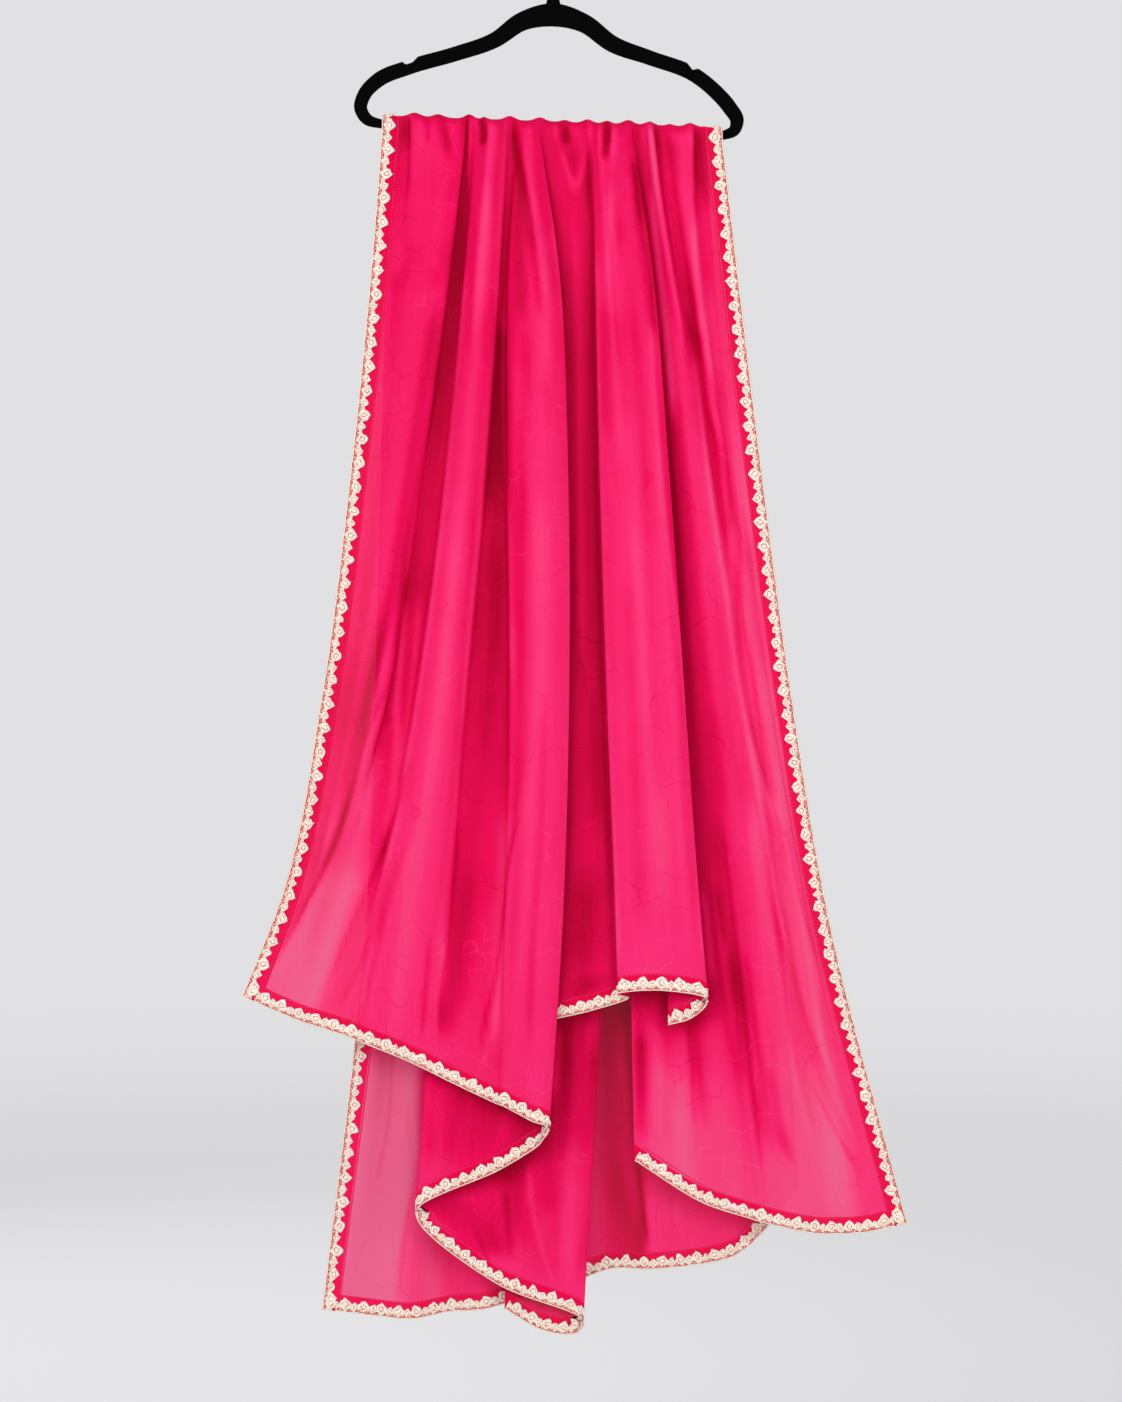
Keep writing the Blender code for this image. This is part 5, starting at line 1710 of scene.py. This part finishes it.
@dataclass
class LaceWorks:
    """Makes lace tapes and lays them on the cloth's borders.

    No part of a tape sinks into the cloth by more than sunk, a share of the lift. Drifts across
    the tape grow from its outer edge and are whole at free.
    """

    finishes: Finishes
    pattern: LacePattern = field(default_factory=LacePattern)
    lift: float = 0.35
    sunk: float = 0.5
    seed: int = 11
    made: int = 0
    drifts_along: tuple[Drift, ...] = (Drift(0.7, 0.41, 0.83), Drift(0.4, -0.23, 1.9))
    drifts_across: tuple[Drift, ...] = (Drift(0.45, 0.31, 0.0), Drift(0.4, 1.27, 0.6))
    free: float = 4.0

    def __post_init__(self) -> None:
        """Makes the motifs and the tree."""
        self.motifs = {motif.name: self.pattern.rosette(motif) for motif in MOTIFS}
        self.tree = LaceTree()

    def lay(
        self,
        name: str,
        border: Border,
        side: Side,
        start: float = 0.0,
        end: float | None = None,
        stands_for: bool = True,
    ) -> bpy.types.Object:
        """Makes one run of lace and lays it on a border.

        Args:
            name: Name of the piece.
            border: Where it lies.
            side: Side of the cloth.
            start: Distance along the border at which it starts.
            end: Distance at which it ends, or None for the border's end.
            stands_for: Whether a CAD node of its name is hidden for it.

        Returns:
            The piece.
        """
        length = (border.lengths[-1] if end is None else end) - start
        pattern = self.pattern
        long_edge = border.run is Run.SIDE
        repeat = pattern.side_repeat if long_edge else pattern.hem_repeat
        repeats = max(1, round(length / repeat))
        self.made += 1
        mesh = grown(
            self.tree.tree,
            {"Repeat": length / repeats, "Length": length, **sizes_of(pattern, PATTERN_SIZES)},
            {
                "Repeats": repeats,
                "Seed": self.seed * self.made,
                "Floret": self.motifs["floret"],
                "Filler": self.motifs["small_floret"],
                "Link": self.motifs["link"],
                "Corner": self.motifs["block"] if long_edge else None,
                "Lace Finish": self.finishes.ivory,
                "Inset Finish": self.finishes.rose,
                "Piping Finish": self.finishes.coral,
            },
        )
        flat = points_of(mesh)
        flat[:, :2] += self.by_hand(flat)
        flat[:, 0] = np.clip(flat[:, 0], 0.0, length)
        flat[:, 1] = np.maximum(flat[:, 1], 0.0)
        flat[:, 2] = np.maximum(flat[:, 2], -self.lift * self.sunk) + self.lift
        set_points(mesh, border.place(flat, start, side, self.lift))
        outward_faces(mesh)
        piece = linked(name.replace("lace", "tape"), mesh)
        finish_piece(piece, name if stands_for else None)
        LOG.info("%s: %.0f mm, %d repeats, %d faces", name, length, repeats, len(mesh.polygons))
        return piece

    def by_hand(self, flat: np.ndarray) -> np.ndarray:
        """Small drifts of a flat pattern, as in work done by hand."""
        x, y = flat[:, 0], flat[:, 1]
        along, across = (
            sum(drift.at(x, y) for drift in drifts)
            for drifts in (self.drifts_along, self.drifts_across)
        )
        return np.column_stack((along, across * np.clip(y / self.free, 0.0, 1.0)))

    def put_away(self) -> None:
        """Removes the motif helpers."""
        for helper in self.motifs.values():
            bpy.data.objects.remove(helper)


STITCH_SIZES = ("Pitch", "Stitch", "Radius", "Place", "Fold Radius", "Fold Place", "Fold Step")


@dataclass(frozen=True)
class Stitching:
    """Running stitches along the inner line of the hem bands, and the fold that they hold down.

    lean is how far each stitch turns at random, and sunk the share of its radius in the cloth.
    """

    finishes: Finishes
    pitch: float = 4.2
    stitch: float = 2.6
    radius: float = 0.3
    place: float = 18.2
    fold_place: float = 18.9
    fold_radius: float = 0.4
    fold_step: float = 6.0
    lean: tuple[float, float, float] = (0.0, 0.0, 0.07)
    seed: int = 5
    sides: int = 5
    fold_sides: int = 4
    sunk: float = 0.4

    def tree(self) -> bpy.types.NodeTree:
        """Geometry Nodes tree of a flat run of stitches with the folded edge beside it."""
        sketch, inputs = new_tree(
            "stitch_run",
            {"Float": ("Length", *STITCH_SIZES), "Material": ("Thread Finish", "Fold Finish")},
        )
        add = sketch.add
        runs = []
        for place in ("Place", "Fold Place"):
            start = add("ShaderNodeCombineXYZ", Y=inputs[place])
            end = add("ShaderNodeCombineXYZ", X=inputs["Length"], Y=inputs[place])
            line = add(
                "GeometryNodeCurvePrimitiveLine",
                Start=start.outputs["Vector"],
                End=end.outputs["Vector"],
            )
            runs.append(line.outputs["Curve"])
        points = add(
            "GeometryNodeCurveToPoints", {"mode": "LENGTH"}, Curve=runs[0], Length=inputs["Pitch"]
        )
        shape = add(
            "GeometryNodeMeshCylinder",
            Vertices=self.sides,
            Radius=inputs["Radius"],
            Depth=inputs["Stitch"],
        )
        lying = add(
            "GeometryNodeTransform",
            Geometry=shape.outputs["Mesh"],
            Rotation=(0.0, math.pi / 2, 0.0),
        )
        lean = add("FunctionNodeRandomValue", {"data_type": "FLOAT_VECTOR"}, Seed=self.seed)
        lean.inputs[0].default_value = tuple(-k for k in self.lean)
        lean.inputs[1].default_value = self.lean
        stitches = add(
            "GeometryNodeInstanceOnPoints",
            Points=points.outputs["Points"],
            Instance=lying.outputs["Geometry"],
            Rotation=lean.outputs["Value"],
        )
        real = add("GeometryNodeRealizeInstances", Geometry=stitches.outputs["Instances"])
        fold = resampled(sketch, runs[1], inputs["Fold Step"])
        whole = add("GeometryNodeJoinGeometry")
        for part, finish in (
            (real.outputs["Geometry"], "Thread Finish"),
            (tube(sketch, fold, inputs["Fold Radius"], self.fold_sides), "Fold Finish"),
        ):
            sewn = add("GeometryNodeSetMaterial", Geometry=part, Material=inputs[finish])
            sketch.tree.links.new(sewn.outputs["Geometry"], whole.inputs["Geometry"])
        add("NodeGroupOutput", Geometry=whole.outputs["Geometry"])
        return sketch.tree

    def sew(self, runs: list[tuple[Border, float, float, tuple[Side, ...]]]) -> None:
        """Lays stitches along every run and joins them in one piece.

        Args:
            runs: For each run its border, where it starts and ends along it, and its sides.
        """
        tree = self.tree()
        joined = bmesh.new()
        for border, start, end, sides in runs:
            mesh = grown(
                tree,
                {"Length": end - start, **sizes_of(self, STITCH_SIZES)},
                {"Thread Finish": self.finishes.stitch, "Fold Finish": self.finishes.thread},
            )
            flat = points_of(mesh)
            flat[:, 0] = np.clip(flat[:, 0], 0.0, end - start)
            for side in sides:
                laid = mesh.copy()
                set_points(laid, border.place(flat, start, side, self.radius * (1 - self.sunk)))
                outward_faces(laid)
                joined.from_mesh(laid)
                bpy.data.meshes.remove(laid)
        whole = bpy.data.meshes.new("hem_stitching")
        joined.to_mesh(whole)
        joined.free()
        whole.materials.append(self.finishes.stitch)
        whole.materials.append(self.finishes.thread)
        finish_piece(linked("hem_stitching", whole))
        LOG.info("hem stitching: %d faces", len(whole.polygons))


def outward_faces(mesh: bpy.types.Mesh) -> None:
    """Turns the faces of a mesh of closed shells outwards."""
    shape = bmesh.new()
    shape.from_mesh(mesh)
    bmesh.ops.recalc_face_normals(shape, faces=shape.faces)
    shape.to_mesh(mesh)
    shape.free()


@dataclass(frozen=True)
class FramePlace:
    """A place round the hanger's loop: middle of its strip, and the strip's height there."""

    x: float
    z: float
    height: float


@dataclass
class Hanger:
    """The slim velvet hanger's rounded frame and neck.

    pile is how much the velvet widens the strip, squareness how square its section is, and
    neck_levels each level's height, half width and share of the strip's thickness.
    """

    thick: float = 5.0
    pile: float = 1.06
    cuts: int = 8
    sides: int = 16
    squareness: float = 3.2
    notches: tuple[tuple[float, float], ...] = ((-166.5, -129.5), (156.5, -135.5))
    notch_radius: float = 6.5
    neck_x: float = -2.0
    neck_levels: tuple[tuple[float, float, float], ...] = (
        (-84.0, 15.0, 0.94),
        (-76.0, 11.0, 0.94),
        (-66.0, 8.0, 0.94),
        (-58.0, 6.0, 0.94),
        (-56.1, 4.9, 0.7),
    )
    places: tuple[FramePlace, ...] = (
        FramePlace(-2, -79.6, 24.9),
        FramePlace(32, -88.6, 20.4),
        FramePlace(65, -112.4, 18.1),
        FramePlace(108, -128.3, 15.8),
        FramePlace(158, -147.5, 15.8),
        FramePlace(182, -166.7, 15.8),
        FramePlace(198, -184.9, 15.8),
        FramePlace(206, -199.0, 14.7),
        FramePlace(203, -210.0, 12.6),
        FramePlace(191, -215.6, 9.8),
        FramePlace(166, -214.9, 9.6),
        FramePlace(85, -212.4, 9.6),
        FramePlace(-2, -209.4, 9.6),
        FramePlace(-91, -206.2, 9.6),
        FramePlace(-174, -203.4, 9.6),
        FramePlace(-198, -202.6, 9.8),
        FramePlace(-213, -197.4, 12.6),
        FramePlace(-220, -184.9, 14.1),
        FramePlace(-216, -170.1, 14.7),
        FramePlace(-200, -153.2, 15.8),
        FramePlace(-166, -139.0, 15.8),
        FramePlace(-113, -123.7, 15.8),
        FramePlace(-68, -107.9, 17.0),
        FramePlace(-36, -86.4, 20.4),
    )

    def loop(self) -> np.ndarray:
        """Smooth closed run of places: x, z and height."""
        table = np.array([(place.x, place.z, place.height) for place in self.places], float)
        looped = np.concatenate((table[-2:], table, table[:3]))
        steps = np.linalg.norm(np.diff(looped[:, :2], axis=0), axis=1)
        knots = np.concatenate(([0.0], np.cumsum(steps)))
        places = []
        for k in range(2, 2 + len(table)):
            step = (knots[k + 1] - knots[k]) / self.cuts
            places += [knots[k] + step * cut for cut in range(self.cuts)]
        return smooth_curve(knots, looped, np.array(places))

    def section(self, half_wide: float, half_thick: float) -> list[tuple[float, float]]:
        """A rounded strip's outline as (across, depth) pairs."""
        power, outline = 2 / self.squareness, []
        for k in range(self.sides):
            turn = 2 * math.pi * (k + 0.5) / self.sides
            c, s = math.cos(turn), math.sin(turn)
            across = half_wide * math.copysign(abs(c) ** power, c)
            outline.append((across, half_thick * math.copysign(abs(s) ** power, s)))
        return outline

    def build(self, finishes: Finishes) -> None:
        """Makes the frame with its neck."""
        run = self.loop()
        ahead = np.roll(run, -1, axis=0)[:, :2] - np.roll(run, 1, axis=0)[:, :2]
        ahead /= np.linalg.norm(ahead, axis=1, keepdims=True)
        points, faces = [], ring_faces(0, self.sides, len(run), closed=True)
        for (x, z, height), (go_x, go_z) in zip(run, ahead):
            out = np.array((-go_z, go_x))
            for across, depth in self.section(self.pile * height / 2, self.thick / 2):
                px, pz = np.array((x, z)) + out * across
                points.append((px, depth, pz - self.notch_depth(px, pz, across)))
        self.add_neck(points, faces)
        frame = mesh_object("hanger_frame_velvet", np.array(points), faces)
        outward_faces(frame.data)
        frame.data.materials.append(finishes.velvet)
        finish_piece(frame, "hanger_frame")
        LOG.info("hanger frame: %d points", len(points))

    def notch_depth(self, x: float, z: float, across: float) -> float:
        """How far a strap notch lowers a point of the arm's upper edge."""
        if across <= 0:
            return 0.0
        depth = 0.0
        for notch_x, notch_z in self.notches:
            away = abs(x - notch_x)
            if away < self.notch_radius:
                floor = notch_z - math.sqrt(self.notch_radius**2 - away**2)
                depth = max(depth, min(z - floor, self.notch_radius))
        return max(0.0, depth)

    def add_neck(self, points: list, faces: list) -> None:
        """Adds the short neck that rises out of the frame's top and holds the collar."""
        base = len(points)
        for z, half_wide, thin in self.neck_levels:
            for across, depth in self.section(half_wide, self.thick / 2 * thin):
                points.append((self.neck_x + across, depth, z))
        faces += ring_faces(base, self.sides, len(self.neck_levels))
        last = base + (len(self.neck_levels) - 1) * self.sides
        faces.append(tuple(base + s for s in range(self.sides)))
        faces.append(tuple(last + s for s in reversed(range(self.sides))))


@dataclass(frozen=True)
class Lamp:
    """A square soft light: its name, its place in metres and its power in watts."""

    name: str
    place: tuple[float, float, float]
    power: float


@dataclass(frozen=True)
class Studio:
    """Camera, soft lights and a plain pale floor, in metres."""

    camera_place: tuple[float, float, float] = (0.0068, -3.75, -0.8561)
    lens: float = 85.07
    sensor: float = 36.0
    sight: float = 60.0
    background: tuple[float, float, float] = (0.752, 0.752, 0.765)
    lamps: tuple[Lamp, ...] = (
        Lamp("key", (-1.6, -2.6, 0.5), 34.0),
        Lamp("fill", (1.8, -2.4, -0.4), 18.0),
        Lamp("behind", (-1.5, 2.7, 0.5), 24.0),
    )
    lamp_size: float = 1.8
    lamps_look_at: tuple[float, float, float] = (0.0, 0.0, -0.7)
    floor_colour: tuple[float, float, float] = (0.78, 0.78, 0.79)
    floor_roughness: float = 0.9
    floor_height: float = -1.95
    floor_radius: float = 9.0
    floor_fade: tuple[float, float] = (1.0, 8.9)
    floor_sides: int = 64
    floor_rings: int = 3

    def build(self) -> None:
        """Makes everything that isn't the object."""
        scene = bpy.context.scene
        scene.view_settings.view_transform = "Standard"
        camera = bpy.data.objects.new("camera", bpy.data.cameras.new("camera"))
        camera.location = self.camera_place
        camera.rotation_euler = (math.radians(90.0), 0.0, 0.0)
        camera.data.lens = self.lens
        camera.data.sensor_width = self.sensor
        camera.data.clip_end = self.sight
        scene.collection.objects.link(camera)
        scene.camera = camera
        world = bpy.data.worlds.new("pale_studio")
        world.use_nodes = True
        world.node_tree.nodes["Background"].inputs["Color"].default_value = (*self.background, 1.0)
        scene.world = world
        for lamp in self.lamps:
            self.light(lamp)
        self.floor()

    def light(self, lamp: Lamp) -> None:
        """Sets up a light that looks at the stole's middle."""
        data = bpy.data.lights.new(lamp.name, "AREA")
        data.size = self.lamp_size
        data.energy = lamp.power
        made = bpy.data.objects.new(lamp.name, data)
        made.location = lamp.place
        aim = Vector(self.lamps_look_at) - Vector(lamp.place)
        made.rotation_euler = aim.to_track_quat("-Z", "Y").to_euler()
        bpy.context.scene.collection.objects.link(made)

    def floor(self) -> None:
        """A pale disc that fades out before its rim, so that no edge shows."""
        sides, rings, height = self.floor_sides, self.floor_rings, self.floor_height / MM
        points = [(0.0, 0.0, height)]
        for ring in range(1, rings + 1):
            reach = self.floor_radius * ring / rings / MM
            for k in range(sides):
                turn = 2 * math.pi * k / sides
                points.append((reach * math.cos(turn), reach * math.sin(turn), height))
        faces = [(0, 1 + k, 1 + (k + 1) % sides) for k in range(sides)]
        faces += [face[::-1] for face in ring_faces(1, sides, rings)]
        floor = mesh_object("floor", np.array(points), faces)
        made, shader, sketch, place = new_material("pale_floor")
        reach = sketch.add("ShaderNodeVectorMath", {"operation": "LENGTH"})
        sketch.feed(reach.inputs[0], place)
        sketch.give(
            shader,
            Alpha=sketch.spread(reach.outputs["Value"], self.floor_fade, (1.0, 0.0), soft=True),
            Base_Color=(*self.floor_colour, 1.0),
            Roughness=self.floor_roughness,
        )
        floor.data.materials.append(made)


@dataclass(frozen=True)
class Dupatta:
    """The whole stole: its stretches of cloth, its lace and its sewing.

    Distances along a border: under_bar is where inner tapes start, corner and lace_corner where
    stitches and lace stop before the cloth's corner, and round_tip and past_tip how far a tape
    runs on round a tip of the hem and where the next one starts behind it. The painted shade of
    the back's hollows counts for back_share in front, and that of its hollows seen from behind for
    back_shares from its top to its hidden part.
    """

    finishes: Finishes
    under_bar: float = 30.0
    corner: float = 19.0
    lace_corner: float = 14.5
    round_tip: float = 12.0
    past_tip: float = 2.0
    back_share: float = 0.32
    back_shares: tuple[float, float] = (0.15, 1.05)
    back_fade: tuple[float, float] = (-1250.0, 450.0)

    def build(self) -> None:
        """Makes every stretch and lays the trims on its borders."""
        sheets = (
            Stretch("front_left", FRONT_LEFT, LEFT_CREASES, (0.40, 1.09), 0.35, left_border=True),
            Stretch("cascade", CASCADE, CASCADE_CREASES, (0.51, 1.20), 0.39, top=CASCADE_TOP),
            Stretch("centre", CENTRE, CENTRE_CREASES, (0.27, 1.00), 0.18),
            Stretch(
                *("front_right", FRONT_RIGHT, RIGHT_CREASES, (0.33, 1.25), 0.23),
                right_border=True,
            ),
            Stretch(
                *("back", BACK, BACK_CREASES, (0.60, 1.33), 0.62),
                left_border=True,
                right_border=True,
            ),
        )
        *front, back = sheets
        # Painted shade in the hollows between folds, seen from the front and, on the back, from
        # behind too.
        hollows = HollowMap(tuple(front))
        for sheet in front:
            hollows.shade(sheet)
        hollows.shade(back, self.back_share)
        low, length = self.back_fade
        hidden = smoothstep((back.points[..., 2] - low) / length)
        share, more = self.back_shares
        HollowMap((back,), Side.REVERSE).shade(back, share + more * hidden)
        self.lace(*sheets)
        self.sew(sheets)
        for sheet in sheets:
            shell = sheet.build(self.finishes)

    def sew(self, sheets: tuple[Stretch, ...]) -> None:
        """Sews the hem bands of every border."""
        left, *_, right, back = sheets
        both = (Side.FACE, Side.REVERSE)
        runs = []
        for sheet, column in ((left, 0), (right, -1), (back, 0), (back, -1)):
            border = side_border(sheet, column % sheet.points.shape[1])
            start = self.under_bar if sheet is back else 0.0
            runs.append((border, start, border.lengths[-1] - self.corner, both))
        for sheet in sheets:
            border = hem_border(sheet)
            start = self.corner if sheet.left_border else 0.0
            end = border.lengths[-1] - (self.corner if sheet.right_border else 0.0)
            runs.append((border, start, end, both))
        Stitching(self.finishes).sew(runs)

    def lace(
        self, left: Stretch, cascade: Stretch, centre: Stretch, right: Stretch, back: Stretch
    ) -> None:
        """Lays every tape of lace."""
        works = LaceWorks(self.finishes)
        self.front_left_lace(works, left, cascade)
        self.centre_lace(works, centre)
        self.front_right_lace(works, right)
        self.back_lace(works, back)
        works.put_away()

    @staticmethod
    def at(sheet: Stretch, border: Border, name: str) -> float:
        """Distance along a hem of a named fold line."""
        return float(border.lengths[sheet.column(name)])

    def front_left_lace(self, lace: LaceWorks, left: Stretch, cascade: Stretch) -> None:
        """Lace of the front's left edge and of the hem that runs on down the cascade."""
        face, reverse = Side.FACE, Side.REVERSE
        edge = side_border(left, 0)
        lace.lay("lace_left_edge", edge, face)
        lace.lay("lace_left_edge_reverse", edge, reverse, self.under_bar)
        first, second = hem_border(left), hem_border(cascade)
        hem = first.joined(second)
        joint = float(first.lengths[-1])
        tip_a = self.at(left, first, "edge_3_right")
        tip_b = joint + self.at(cascade, second, "turn_left")
        tip_c = joint + self.at(cascade, second, "turn_right")
        turn, past = self.round_tip, self.past_tip
        lace.lay("lace_hem_left", hem, face, self.lace_corner, tip_a + turn)
        lace.lay("lace_hem_left_reverse", hem, reverse, self.lace_corner, tip_a)
        lace.lay("lace_hem_cascade_upper", hem, reverse, tip_a, tip_b + turn)
        lace.lay("lace_hem_cascade_middle", hem, face, tip_b + past, tip_c + turn)
        lace.lay("lace_hem_cascade_lower", hem, reverse, tip_c + past)
        lace.lay("lace_hem_cascade_lower_behind", hem, face, tip_c + past, stands_for=False)

    def centre_lace(self, lace: LaceWorks, centre: Stretch) -> None:
        """Lace of the recess, the fourth pleat and its turned-back end."""
        hem = hem_border(centre)
        pleat = self.at(centre, hem, "edge_4_left")
        tip = self.at(centre, hem, "edge_4_right")
        lace.lay("lace_hem_recess", hem, Side.FACE, 0.0, pleat)
        lace.lay("lace_hem_pleat", hem, Side.FACE, pleat, tip + self.round_tip)
        lace.lay("lace_hem_pleat_turned", hem, Side.REVERSE, tip + self.past_tip)

    def front_right_lace(self, lace: LaceWorks, right: Stretch) -> None:
        """Lace of the front's right edge and hem."""
        edge = side_border(right, right.points.shape[1] - 1)
        lace.lay("lace_right_edge", edge, Side.FACE)
        lace.lay("lace_right_edge_reverse", edge, Side.REVERSE, self.under_bar)
        hem = hem_border(right)
        end = float(hem.lengths[-1]) - self.lace_corner
        lace.lay("lace_hem_right", hem, Side.FACE, 0.0, end)
        lace.lay("lace_hem_right_reverse", hem, Side.REVERSE, 0.0, end)

    def back_lace(self, lace: LaceWorks, back: Stretch) -> None:
        """Lace of the back's two edges and hem."""
        left = side_border(back, 0)
        right = side_border(back, back.points.shape[1] - 1)
        hem = hem_border(back)
        end = float(hem.lengths[-1]) - self.lace_corner
        lace.lay("lace_back_left_edge", left, Side.FACE, self.under_bar)
        lace.lay("lace_back_left_edge_reverse", left, Side.REVERSE)
        lace.lay("lace_back_right_edge", right, Side.FACE, self.under_bar)
        lace.lay("lace_back_right_edge_reverse", right, Side.REVERSE)
        lace.lay("lace_hem_back", hem, Side.FACE, self.lace_corner, end)
        lace.lay("lace_hem_back_reverse", hem, Side.REVERSE, self.lace_corner, end)


def main() -> None:
    """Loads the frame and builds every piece."""
    logging.basicConfig(level=logging.INFO, format="%(message)s")
    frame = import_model()
    finishes = make_finishes()
    Studio().build()
    Hanger().build(finishes)
    for name in ("hook", "hook_ferrule"):
        node = frame["nodes"][name]
        node.data.materials.clear()
        node.data.materials.append(finishes.steel)
    Dupatta(finishes).build()


if __name__ == "__main__":
    main()
